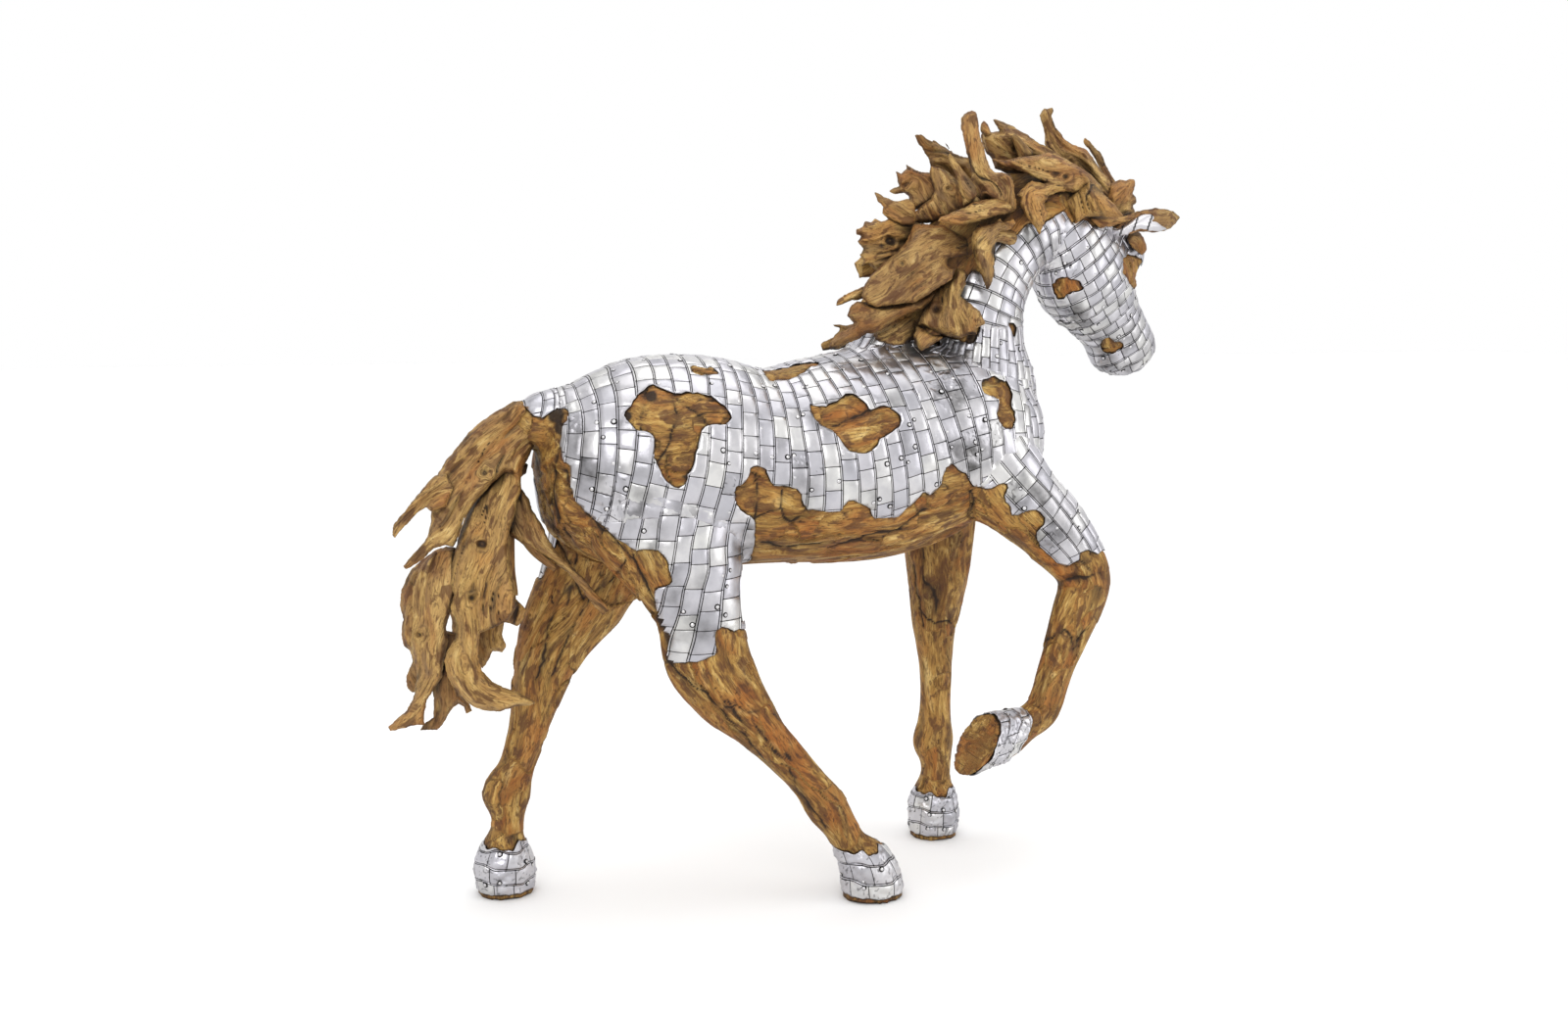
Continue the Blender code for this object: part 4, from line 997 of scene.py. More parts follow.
        # The shade values are painted: dark reflections at the listed spots, and each tile darker
        # towards one side along its lean as a painted reflection, more so on a few tiles.
        slope = 0.5 + 0.5 * tilt
        shade = painted_dark_reflection(points, out) * (0.5 + 0.5 * share_dark) + 0.15 * slope
        if share_dark > LEAN_SHADE_SHARE:
            shade += 0.45 * slope
        shade = np.clip(shade, 0, 1)
        index = self.count + np.arange(own.size).reshape(own.shape)
        self.count += own.size
        self.quads.append(grid_quads(index))
        self.points.append((points + out * height[..., None]).reshape(-1, 3))
        self.out.append(out.reshape(-1, 3))
        self.base.append(points.reshape(-1, 3))
        self.limb.append(limb.ravel())
        self.own.append(own.ravel())
        self.values.append(np.stack((seam, np.full(own.shape, tone), shade), -1).reshape(-1, 3))
        if nail_at[0] < NAIL_SHARE + 0.8 * crumple:
            edge = NAIL_FROM_EDGE / width
            share = edge if nail_at[1] < 0.5 else 1 - edge
            place = 0.15 + 0.7 * nail_at[2]
            row_share, turn_share = (place, share) if zone.rows_along else (share, place)
            spot, normal = zone.sample(
                np.array([rows[0] + row_share * (rows[1] - rows[0])]),
                np.array([turns[0] + turn_share * (turns[1] - turns[0])]),
            )
            if own.min() > 0.3:
                self.nails.append((spot[0], normal[0], 0.42 + 0.2 * nail_at[1], limb[0, 0]))

    def drive_nails(self, first):
        """Round nail heads standing on the tiles: points, their values, and faces from first on."""
        points = []
        values = []
        faces = []
        for spot, normal, radius, _ in self.nails:
            side = unit(np.cross(normal, SLANTED))
            up = np.cross(normal, side)
            centre = spot + normal * (LIFT + NAIL_STAND)
            start = first + len(points)
            points.append(centre + normal * radius * NAIL_CROWN)
            values.append((0.0, NAIL_TONE, 0.0))
            # The outer rings carry painted shade round the head's edge.
            for ring, rise, dark in NAIL_RINGS:
                for angle in turns_round(NAIL_SIDES):
                    flat = side * math.cos(angle) + up * math.sin(angle)
                    points.append(centre + flat * radius * ring + normal * radius * rise)
                    values.append((dark, NAIL_TONE, 0.0))
            for k in range(NAIL_SIDES):
                after = (k + 1) % NAIL_SIDES
                faces.append([start, start + 1 + k, start + 1 + after])
                for r in range(len(NAIL_RINGS) - 1):
                    low = start + 1 + r * NAIL_SIDES
                    high = low + NAIL_SIDES
                    faces.append([low + k, high + k, high + after, low + after])
        return points, values, faces

    def build(self, name):
        """One mesh of the tiles that lie inside the metal, cut along its edge and turned down."""
        points = np.vstack(self.points)
        out = np.vstack(self.out)
        values = np.vstack(self.values)
        quads = np.vstack(self.quads)
        depth = np.concatenate(self.depth)
        corners = points[quads]
        longest = np.max(np.linalg.norm(corners - np.roll(corners, 1, axis=1), axis=-1), axis=1)
        inside = depth[quads] > 0
        short = longest < LONGEST_SIDE
        whole = inside.all(axis=1) & short
        crossing = inside.any(axis=1) & ~inside.all(axis=1) & short
        faces = quads[whole].tolist()
        rim_points = []
        rim_values = []
        cut_points = {}

        def cut(a, b):
            key = (a, b) if a < b else (b, a)
            if key not in cut_points:
                share = depth[a] / (depth[a] - depth[b])
                place = points[a] * (1 - share) + points[b] * share
                low = place - (out[a] * (1 - share) + out[b] * share) * (LIFT + RIM_DROP)
                cut_points[key] = len(points) + len(rim_points)
                rim_points.extend((place, low))
                # The turned-down edge is darkened with painted shade.
                rim_values.extend(((0.0, *values[a, 1:]), (RIM_SHADE, *values[a, 1:])))
            return cut_points[key]

        for quad in quads[crossing].tolist():
            polygon = []
            rim = []
            for a, b in zip(quad, quad[1:] + quad[:1]):
                if depth[a] > 0:
                    polygon.append(a)
                if (depth[a] > 0) != (depth[b] > 0):
                    middle = cut(a, b)
                    polygon.append(middle)
                    rim.append((middle, depth[a] > 0))
            if len(polygon) > 2:
                faces.append(polygon)
            if len(rim) == 2:
                (a, leaving), (b, _) = rim
                if not leaving:
                    a, b = b, a
                faces.append([b, a, a + 1, b + 1])
        nails, nail_values, nail_faces = self.drive_nails(len(points) + len(rim_points))
        faces += nail_faces
        rows = [np.reshape(row, (-1, 3)) for row in (points, rim_points, nails)]
        points = np.vstack(rows)
        rows = [np.reshape(row, (-1, 3)) for row in (values, rim_values, nail_values)]
        values = np.vstack(rows)
        used, faces = drop_unused(len(points), faces)
        obj = mesh_object(name, points[used], faces)
        for attribute, column in zip(("seam", "tone", "shade"), values[used].T):
            add_attribute(obj, attribute, column)
        return obj


# Roots

ROOTS = {
    "mane_knot_plank": [
        (42, -5, 175, 5, 3), (30, -11, 172, 6.5, 4), (20, -13, 167, 7, 4),
        (12.5, -13, 162, 5.5, 3.4), (7, -12, 159, 2.4, 2),
    ],
    "mane_lower_root": [
        (37, -6, 168, 3, 3), (28, -9, 162, 3.6, 3), (17, -12, 156.5, 4, 3), (8.5, -10, 152, 3.6, 3),
        (1, -8, 149, 1.5, 1.5),
    ],
    "mane_wedge": [
        (36, -8, 167, 2.5, 2.5), (33.5, -11, 161, 5, 3.2), (32.5, -12.5, 156, 7.5, 4),
        (34, -12, 151, 7, 4),
    ],
    "mane_tall_stump": [
        (50, -5, 183, 6, 4), (46, -8, 188, 6, 4), (42, -9, 194, 3.3, 3.2),
        (40.5, -8, 202, 2.6, 2.6), (39.5, -7, 210, 2.3, 2.3),
    ],
    "mane_sweep": [
        (55, -5, 180.5, 3, 3), (44, -12, 180.5, 3.8, 3), (34, -12.5, 180.5, 2.6, 2.2),
        (26.5, -11, 180.5, 1.6, 1.6), (22, -10, 181.5, 0.6, 0.6),
    ],
    "mane_hook": [
        (53, -7, 177, 2.6, 2.4), (45, -12, 177, 3, 2.6), (40.5, -13, 173.5, 3, 2.6),
        (41.5, -13, 168, 2.6, 2.2), (44, -13, 163, 0.6, 0.6),
    ],
    "mane_hooked_piece": [
        (74, -2, 190.5, 2.5, 2.5), (66, -5, 191.5, 2.8, 2.5), (58.5, -8, 188.5, 3, 2.6),
        (59, -9.5, 183.5, 2.8, 2.2), (61.5, -9.5, 178.5, 0.6, 0.6),
    ],
    "mane_triangle": [
        (80, -1, 192, 3, 3), (80.5, -4, 188, 5.5, 3.2), (83, -6, 184, 7, 3.4), (85, -6, 182, 6, 3),
    ],
    "mane_long_plank": [
        (88, 1, 190, 3, 3), (76, -3, 195, 3.6, 3), (64, -5, 196.5, 3.8, 3.2),
        (55, -6, 197.5, 2.6, 2.4), (49, -5, 198.5, 1, 1),
    ],
    "mane_thin_spike": [
        (43, -8, 184, 3, 2.5), (38, -10, 188.5, 2.5, 2.2), (34.5, -10, 193.5, 1.6, 1.6),
        (32.5, -9, 198.5, 0.6, 0.6),
    ],
    "mane_orange_root": [
        (45, -2, 179, 4.5, 3.4), (39, -4, 185, 5, 3.4), (35, -3, 191, 4, 3),
        (32, -2, 197.5, 1.4, 1.4),
    ],
    "mane_left_burl": [
        (30, -1, 177, 5, 4), (20, -4, 176.5, 6, 5), (12.5, -6, 174.5, 6.4, 4.4),
        (8.5, -6, 173.5, 3.6, 3),
    ],
    "mane_left_spike": [
        (26, -4, 167, 3, 2.5), (16, -6, 164.5, 2.8, 2.2), (8.5, -7, 162, 2, 1.8),
        (2, -7, 159.5, 0.6, 0.6),
    ],
    "mane_bottom_burl": [
        (28, -3, 156, 4, 3), (21, -6, 153, 5.5, 4), (14, -6, 150, 3, 2.5),
    ],
    "mane_bottom_chip": [
        (29, -9, 152, 3, 3), (25, -11, 150, 3.5, 2.5), (22.5, -11, 147, 2, 2),
    ],
    "mane_upper_burl": [
        (42, 1, 183, 4, 3.5), (34, 2, 188.5, 4, 3.5), (30, 3, 192, 4, 3), (24, 3, 193.5, 2, 2),
    ],
    "mane_upper_spike": [
        (34, -3, 179, 3, 3), (28.5, -4, 181.5, 3, 2.5), (21, -5, 183, 2.3, 2),
        (13.5, -5, 188.5, 0.6, 0.6),
    ],
    "mane_horn": [
        (54, 3, 191, 4, 4), (46, 4, 195, 3.5, 3.5), (38, 4, 198.5, 3, 3), (31.5, 3, 201, 1.6, 1.6),
        (28.5, 2, 204.5, 0.6, 0.6),
    ],
    "mane_crown": [
        (75, 5, 196, 4, 4), (66, 5, 201.5, 4.5, 4), (57, 4, 203.5, 4.5, 3.5),
        (51, 3, 204.5, 3, 2.5),
    ],
    "mane_crown_spike": [
        (61, 0, 200, 3, 2.5), (55.5, -1.5, 206, 2, 1.8), (51, -1.5, 209.5, 0.6, 0.6),
    ],
    "mane_tall_horn": [
        (92, 6, 191, 4, 3.5), (84, 7, 198.5, 3.4, 3), (76, 7, 203.5, 2.8, 2.6),
        (72, 6, 209, 2.2, 2.2), (71, 5, 213, 1.5, 1.5),
    ],
    "mane_right_chunk": [
        (92, 4, 185, 4, 4), (95, 4, 189, 4.4, 3.8), (98.5, 4, 194, 2, 2),
    ],
    "mane_right_spike": [
        (96, 8, 190, 2.2, 2.2), (92.5, 11.5, 199, 1.6, 1.6), (86.5, 12, 206.5, 0.6, 0.6),
    ],
    "mane_forelock": [
        (80, -5, 182, 2, 2), (86, -6, 180.5, 2, 2), (93, -5, 182, 1.8, 1.8),
        (100, -2, 184.5, 1.2, 1.2),
    ],
    "brow_knot": [
        (94.5, -1, 179, 3, 3), (98, -1, 177, 2.6, 2.4), (99, -1, 173.5, 1.6, 1.6),
    ],
    "mane_far_crown": [
        (78, 8, 191, 4.5, 3.5), (70, 13, 188, 5, 3.5), (66, 15, 181, 3, 2.5), (65, 15, 175, 1, 1),
    ],
    "mane_far_plank": [
        (66, 7, 190, 5, 3.5), (57, 13, 185, 6, 3.8), (52, 15, 175, 4.5, 3), (51, 15, 167, 1.5, 1.5),
    ],
    "mane_far_middle": [
        (54, 6, 186, 5, 3.5), (44, 13, 179, 6.5, 4), (38, 14, 169, 5.5, 3.5), (36, 14, 160, 2, 2),
    ],
    "mane_far_back": [
        (44, 5, 179, 5, 3.5), (33, 12, 171, 7, 4), (24, 13, 162, 6, 3.5), (17, 13, 155, 2.5, 2),
    ],
    "mane_far_root": [
        (33, 5, 163, 4, 3.5), (23, 9, 155, 5, 3.5), (12, 10, 150, 3, 2.5), (3, 8, 147, 1, 1),
    ],
    "mane_far_spike": [
        (51, 5, 189, 3.5, 3), (44, 9, 197, 2.8, 2.5), (37, 11, 204, 0.8, 0.8),
    ],
    "mane_far_burl": [
        (31, 5, 176, 5, 4), (21, 7, 172, 5, 4), (13, 7, 168, 2, 2),
    ],
    "tail_root": [
        (-80.5, 0, 128, 6, 6), (-88, -2, 122.5, 7.5, 6), (-97, -4, 112.5, 7.5, 5),
        (-105, -5, 103, 5.5, 4), (-110, -5, 98.5, 2.5, 2),
    ],
    "tail_front_lock": [
        (-86, -3, 118, 5, 4), (-90.5, -8, 103, 6, 4), (-96.5, -10, 89, 6.5, 4),
        (-98.5, -11, 75, 7, 3.6), (-96, -12, 64.5, 6.5, 3), (-84, -12.5, 59, 2, 1.8),
    ],
    "tail_middle_lock": [
        (-91, -2, 116, 6, 4.5), (-98, -4, 102, 6.5, 4.4), (-103, -4, 89, 6, 4.2),
        (-104.5, -4, 76, 5.5, 4), (-108, -4, 64, 4.2, 3), (-116.5, -4, 53, 1, 1),
    ],
    "tail_rear_lock": [
        (-97, 1, 105, 5.5, 4.5), (-106, 2, 92.5, 5, 4), (-110.5, 2, 78, 4, 3.2),
        (-110, 2, 62, 1.8, 1.6),
    ],
    "tail_upper_spike": [
        (-95, -7, 119, 3.5, 3), (-104, -8, 113.5, 2.5, 2.2), (-111, -8, 108, 1.8, 1.6),
        (-116, -8, 103, 0.6, 0.6),
    ],
    "tail_branch": [
        (-85, -3, 109, 3, 3), (-81.5, -7, 98, 2.4, 2.2), (-73, -11, 90, 1.8, 1.6),
        (-63.5, -14, 81.5, 1, 1),
    ],
    "tail_right_lock": [
        (-88, -2, 103, 4, 3.5), (-87, -2, 92, 3.8, 3.2), (-86, -3, 82, 3.8, 3),
        (-88, -3, 75, 2.2, 2), (-87.5, -3, 70, 0.8, 0.8),
    ],
    "tail_lower_tip": [
        (-102, 0, 76, 4, 3.5), (-105, 0, 63, 3, 2.6), (-108, 0, 52, 0.8, 0.8),
    ],
    "tail_far_lock": [
        (-85.5, 0.5, 120, 5, 4), (-92, 8, 101, 5, 4), (-96, 9, 85, 4.5, 3.5), (-97, 9, 69, 2, 2),
    ],
    "near_ear": [
        (91, -5, 180.5, 2.5, 2.4), (97.5, -4, 183, 3.8, 1.9), (105, -1.5, 184, 3.8, 1.7),
        (111, 0.5, 184.5, 2.4, 1.3), (115, 2, 184, 0.7, 0.6),
    ],
    "far_ear": [
        (83, 10, 182, 2.5, 2.4), (88, 13, 186, 3.6, 1.9), (94, 16, 189.5, 3.2, 1.6),
        (99, 18, 192, 0.7, 0.6),
    ],
}

# The near roots' outlines as the camera sees them, in quarter pixels from a corner of the picture.
MANE_CORNER = (840, 90)
TAIL_CORNER = (380, 400)
MANE_OUTLINES = {
    "mane_tall_stump": [
        (575, 108), (590, 97), (605, 93), (622, 97), (628, 112), (632, 140), (637, 180), (646, 215),
        (656, 245), (665, 280), (672, 305), (682, 327), (702, 345), (730, 343), (760, 350),
        (775, 365), (780, 420), (790, 455), (788, 492), (740, 512), (690, 524), (620, 545),
        (560, 545), (545, 500), (572, 470), (580, 430), (600, 400), (607, 345), (598, 310),
        (588, 270), (578, 230), (568, 190), (562, 150), (563, 122),
    ],
    "mane_thin_spike": [
        (512, 266), (522, 268), (545, 300), (575, 340), (600, 370), (622, 400), (628, 440),
        (600, 478), (575, 490), (560, 430), (545, 370), (525, 322), (510, 290),
    ],
    "mane_sweep": [
        (780, 470), (785, 502), (740, 515), (690, 527), (640, 543), (600, 550), (560, 562),
        (510, 555), (466, 545), (480, 526), (520, 510), (570, 490), (620, 462), (700, 450), (750, 455),
    ],
    "mane_hook": [
        (775, 533), (786, 550), (770, 575), (745, 586), (725, 590), (712, 615), (700, 640),
        (697, 680), (698, 720), (696, 760), (690, 790), (680, 815), (668, 822), (655, 790),
        (640, 750), (625, 715), (612, 680), (604, 650), (603, 620), (610, 588), (628, 568),
        (655, 560), (682, 555), (705, 545), (722, 530), (735, 548), (750, 545),
    ],
    "mane_hooked_piece": [
        (850, 378), (900, 390), (950, 382), (1000, 385), (1013, 405), (995, 420), (950, 426),
        (920, 442), (902, 472), (917, 512), (902, 555), (882, 602), (868, 575), (845, 545),
        (820, 510), (800, 470), (806, 450), (787, 440), (802, 420), (826, 398),
    ],
    "mane_triangle": [
        (1085, 385), (1110, 395), (1150, 435), (1190, 475), (1232, 527), (1180, 527), (1120, 525),
        (1075, 525), (1055, 536), (1030, 557), (1014, 520), (1000, 490), (983, 460), (1010, 440),
        (1045, 413),
    ],
    "mane_long_plank": [
        (685, 288), (740, 296), (800, 280), (860, 275), (920, 263), (980, 283), (1040, 318),
        (1090, 352), (1132, 395), (1150, 440), (1110, 450), (1060, 440), (1000, 425), (940, 410),
        (880, 375), (830, 348), (780, 328), (730, 318),
    ],
    "mane_crown": [
        (690, 128), (705, 125), (740, 140), (790, 165), (840, 195), (880, 223), (930, 250),
        (990, 290), (960, 340), (860, 350), (760, 350), (700, 330), (690, 287), (665, 262),
        (648, 225), (643, 185), (662, 174), (690, 180), (722, 175), (705, 150),
    ],
    "mane_crown_spike": [
        (655, 133), (672, 147), (684, 172), (690, 195), (660, 200), (642, 175), (645, 150),
    ],
    "mane_tall_horn": [
        (900, 82), (915, 86), (935, 79), (940, 95), (932, 115), (945, 150), (965, 180), (985, 208),
        (1010, 225), (1045, 240), (1078, 252), (1100, 285), (1130, 328), (1160, 365), (1190, 420),
        (1200, 472), (1180, 480), (1120, 440), (1060, 400), (1000, 370), (950, 320), (915, 270),
        (905, 235), (903, 190), (895, 150), (883, 112), (890, 95),
    ],
    "mane_right_spike": [
        (1068, 202), (1085, 215), (1110, 245), (1135, 265), (1150, 308), (1170, 345), (1184, 380),
        (1170, 385), (1130, 330), (1100, 275), (1075, 240), (1062, 218),
    ],
    "mane_right_chunk": [
        (1185, 382), (1210, 372), (1232, 377), (1250, 370), (1272, 372), (1275, 400), (1262, 430),
        (1278, 445), (1280, 465), (1265, 480), (1272, 505), (1250, 525), (1190, 535), (1160, 500),
        (1150, 440), (1165, 400),
    ],
    "mane_forelock": [
        (1085, 525), (1150, 523), (1225, 527), (1280, 505), (1345, 493), (1332, 515), (1290, 532),
        (1240, 547), (1180, 562), (1130, 572), (1100, 550),
    ],
    "mane_horn": [
        (372, 190), (400, 190), (440, 215), (480, 240), (520, 262), (560, 278), (600, 285),
        (640, 400), (570, 420), (520, 380), (480, 360), (455, 335), (440, 318), (430, 290),
        (415, 265), (400, 240), (383, 215),
    ],
    "mane_orange_root": [
        (440, 318), (482, 328), (520, 350), (560, 390), (590, 440), (590, 490), (545, 505),
        (500, 525), (450, 548), (400, 552), (365, 548), (368, 510), (400, 480), (440, 450),
        (455, 420), (445, 380), (433, 345),
    ],
    "mane_upper_burl": [
        (335, 307), (352, 318), (372, 332), (410, 345), (442, 343), (475, 380), (485, 425),
        (465, 460), (405, 487), (370, 502), (352, 470), (348, 440), (330, 428), (290, 433),
        (268, 418), (292, 406), (312, 404), (304, 380), (298, 342), (320, 350), (340, 330),
    ],
    "mane_upper_spike": [
        (207, 424), (230, 430), (262, 450), (300, 462), (345, 452), (372, 470), (380, 520),
        (370, 560), (320, 560), (270, 535), (243, 512), (243, 485), (222, 458),
    ],
    "mane_left_burl": [
        (135, 577), (160, 568), (172, 545), (195, 548), (212, 533), (240, 545), (272, 530),
        (330, 550), (370, 550), (430, 555), (440, 590), (400, 635), (350, 680), (290, 720),
        (260, 755), (215, 745), (185, 722), (155, 730), (165, 703), (150, 680), (165, 655),
        (140, 625), (158, 603), (135, 597),
    ],
    "mane_knot_plank": [
        (370, 555), (430, 558), (490, 560), (540, 590), (582, 615), (597, 640), (590, 682),
        (540, 690), (508, 698), (505, 722), (540, 735), (525, 782), (472, 812), (430, 842),
        (380, 872), (320, 880), (262, 885), (215, 895), (180, 882), (158, 850), (168, 800),
        (200, 758), (240, 718), (290, 680), (328, 640), (352, 598),
    ],
    "mane_left_spike": [
        (175, 805), (180, 860), (120, 867), (80, 882), (48, 892), (60, 865), (95, 840), (135, 822),
    ],
    "mane_lower_root": [
        (575, 742), (590, 762), (560, 800), (502, 832), (452, 872), (402, 902), (340, 922),
        (290, 952), (240, 987), (205, 1002), (175, 1000), (150, 1022), (100, 1042), (62, 1067),
        (20, 1062), (33, 1032), (58, 1005), (95, 985), (122, 960), (98, 930), (113, 888),
        (140, 868), (190, 880), (240, 890), (300, 885), (360, 870), (420, 845), (480, 808), (530, 775),
    ],
    "mane_bottom_burl": [
        (390, 880), (402, 920), (392, 950), (387, 990), (370, 1022), (330, 1053), (290, 1058),
        (240, 1045), (205, 1030), (203, 1000), (240, 978), (290, 942), (340, 912),
    ],
    "mane_wedge": [
        (548, 733), (582, 750), (582, 800), (558, 850), (600, 880), (640, 910), (664, 962),
        (640, 972), (618, 985), (628, 1003), (590, 1008), (560, 1022), (510, 1012), (440, 987),
        (388, 965), (400, 930), (428, 880), (448, 842), (500, 800), (533, 770),
    ],
    "mane_bottom_chip": [
        (383, 973), (430, 990), (492, 1015), (450, 1047), (400, 1077), (373, 1042), (368, 1008),
    ],
    "brow_knot": [
        (1250, 588), (1275, 584), (1297, 592), (1315, 625), (1322, 662), (1302, 684), (1278, 664),
        (1258, 650), (1240, 620),
    ],
    "near_ear": [
        (1180, 560), (1200, 535), (1250, 520), (1290, 503), (1340, 492), (1372, 490),
        (1402, 494), (1430, 504), (1458, 527), (1442, 548), (1418, 570), (1385, 584),
        (1345, 590), (1275, 585), (1262, 592), (1225, 600), (1190, 600),
    ],
}
TAIL_OUTLINES = {
    "tail_root": [
        (580, 38), (610, 37), (640, 68), (690, 97), (725, 105), (745, 75), (782, 66), (795, 95),
        (765, 135), (702, 172), (662, 215), (640, 262), (620, 300), (608, 345), (600, 400),
        (565, 330), (540, 330), (490, 372), (445, 422), (405, 472), (372, 522), (348, 600),
        (332, 637), (300, 625), (250, 640), (210, 680), (172, 708), (133, 727), (128, 712),
        (150, 680), (190, 640), (225, 590), (240, 530), (240, 485), (255, 400), (270, 330),
        (300, 280), (350, 220), (390, 168), (432, 130), (490, 90), (545, 58),
    ],
    "tail_upper_spike": [
        (300, 330), (330, 400), (300, 470), (240, 490), (218, 472), (185, 493), (150, 530),
        (112, 570), (92, 598), (80, 583), (85, 545), (120, 500), (170, 440), (220, 380), (255, 340),
    ],
    "tail_front_lock": [
        (560, 280), (602, 330), (610, 400), (592, 440), (582, 500), (562, 560), (550, 620),
        (555, 700), (562, 760), (582, 820), (590, 870), (560, 930), (500, 960), (440, 985),
        (430, 1080), (450, 1140), (490, 1185), (540, 1208), (590, 1223), (668, 1270), (640, 1280),
        (580, 1285), (520, 1307), (460, 1302), (400, 1280), (350, 1232), (310, 1172), (293, 1100),
        (305, 1060), (335, 1010), (342, 950), (318, 880), (332, 830), (318, 790), (325, 700),
        (340, 640), (360, 570), (390, 490), (430, 430), (480, 378), (520, 328),
    ],
    "tail_middle_lock": [
        (250, 648), (300, 630), (342, 635), (335, 700), (345, 800), (330, 870), (300, 960),
        (310, 1020), (290, 1100), (285, 1165), (252, 1212), (222, 1260), (210, 1330), (215, 1362),
        (180, 1360), (130, 1372), (72, 1387), (64, 1370), (100, 1335), (142, 1300), (165, 1258),
        (175, 1215), (180, 1160), (172, 1080), (150, 1020), (158, 940), (148, 870), (160, 800),
        (180, 740), (215, 690),
    ],
    "tail_rear_lock": [
        (160, 725), (200, 690), (250, 650), (262, 720), (240, 800), (220, 880), (215, 960),
        (215, 1050), (220, 1150), (190, 1228), (165, 1226), (143, 1212), (138, 1160), (163, 1100),
        (155, 1060), (130, 1040), (116, 990), (126, 930), (113, 870), (120, 805), (140, 760),
    ],
    "tail_lower_tip": [
        (300, 1060), (335, 1180), (360, 1230), (400, 1280), (408, 1303), (383, 1317), (374, 1283),
        (350, 1273), (320, 1300), (292, 1352), (265, 1380), (192, 1383), (215, 1352), (248, 1330),
        (252, 1270), (245, 1215), (270, 1140),
    ],
    "tail_right_lock": [
        (440, 880), (500, 870), (560, 820), (600, 862), (628, 888), (618, 930), (592, 957),
        (560, 945), (538, 942), (530, 990), (547, 1042), (530, 1064), (490, 1056), (480, 1083),
        (450, 1133), (430, 1100), (420, 1050), (425, 980),
    ],
    "tail_branch": [
        (608, 395), (642, 440), (652, 482), (692, 540), (717, 600), (742, 640), (792, 690),
        (852, 750), (902, 808), (952, 868), (967, 892), (940, 912), (902, 872), (850, 802),
        (800, 742), (750, 702), (700, 670), (640, 642), (600, 612), (555, 582), (560, 540),
        (580, 500), (590, 440),
    ],
}
EAR_PLATE = [
    (1134, 233), (1142, 230), (1150, 227), (1158, 222), (1166, 218), (1174, 215), (1179, 217),
    (1182, 222), (1188, 229), (1191, 234), (1184, 236), (1174, 236), (1164, 234), (1156, 236),
    (1150, 240), (1142, 241), (1136, 239),
]
EAR_SEAMS = (1147, 1159, 1173)
OUTLINES = {
    name: [(corner[0] + x / 4, corner[1] + y / 4) for x, y in points]
    for corner, table in ((MANE_CORNER, MANE_OUTLINES), (TAIL_CORNER, TAIL_OUTLINES))
    for name, points in table.items()
}

# An unseen root's outline: its points' distance, how much its width varies, and its spikes' reach.
RAGGED_STEP = 2.5
RAGGED_WIDTH = (0.8, 1.15)
SPIKE_REACH = (2.5, 6)
SPIKE_OUT = (0.3, 0.8)
SPIKE_FOOT = 0.35
# The flat faces of a root: how many, how they lean across and along the grain, and how far out
# they lie, as shares of its half thickness.
FACE_COUNT = 8
FACE_LEAN = 0.5
FACE_TIP = 0.14
FACE_OUT = (0.9, 1.35)
THICK_RANGE = (0.35, 1.1)
# Pieces whose drawn outline stops before they reach the piece that holds them, and the share of
# their length that runs on as a hidden end, its sizes at its start and end, and its sides.
HIDDEN_ENDS = (
    "mane_bottom_chip", "mane_crown", "mane_crown_spike", "mane_hook", "mane_left_spike",
    "mane_right_spike", "mane_thin_spike", "mane_upper_burl", "tail_branch", "tail_far_lock",
    "tail_lower_tip", "tail_right_lock", "tail_root",
)
END_SHARE = 0.55
END_SIZES = (0.8, 0.4)
END_SIDES = 14
# How dark the hidden end is, as painted shade.
END_SHADE = 0.25
# A carved root: its grid's step in pixels, its ragged edge, and how far in the edge is rounded.
SLAB_STEP = 1.3
RAGGED_ROOT = ((0.16, 1.3, 31), (0.13, 0.5, 32))
ROUND_OFF = 1.4
# Its eyes: the room that one needs, the least points and the points for each, the size of its
# core, and the distance and width of the ring and the groove round it.
EYE_ROOM = 2.8
EYE_LEAST = 120
EYE_EACH = 1500
EYE_CORE = 0.8
EYE_RING = (1.5, 0.5)
EYE_GROOVE = (2.2, 0.3)
# Lumps in a centimetre across, along and between the two faces, for each kind of relief.
ROOT_BEND = (0.16, 0.1, 1)
ROOT_RIDGES = (0.3, 0.07, 1)
ROOT_FLUTES = (0.85, 0.1, 1)
ROOT_FINE = (2.1, 0.2, 1)
ROOT_SPLITS = (0.42, 0.035, 1)
FACES_APART = 5.0


def ragged_outline(stations, view, draws, spike_share):
    """A jagged outline round a root's centre line, with spikes that lean towards its tip."""
    limb = Limb(stations, RAGGED_STEP)
    x, y, _ = view.flatten(limb.centre)
    way = unit(np.stack((np.gradient(x), np.gradient(y)), -1))
    across = np.stack((-way[:, 1], way[:, 0]), -1)
    last = len(x) - 1
    sides = []
    for side in (1, -1):
        line = []
        for i in range(last + 1):
            half = limb.depth[i] / PIXEL * draws.uniform(*RAGGED_WIDTH)
            point = np.array((x[i], y[i])) + side * half * across[i]
            line.append(point)
            if draws.random() < spike_share and 0 < i < last:
                reach = draws.uniform(*SPIKE_REACH) / PIXEL
                out = side * half * draws.uniform(*SPIKE_OUT) * across[i]
                line.append(point + out + way[i] * reach)
                line.append(point + way[i] * reach * SPIKE_FOOT)
        sides.append(line)
    return sides[0] + sides[1][::-1]


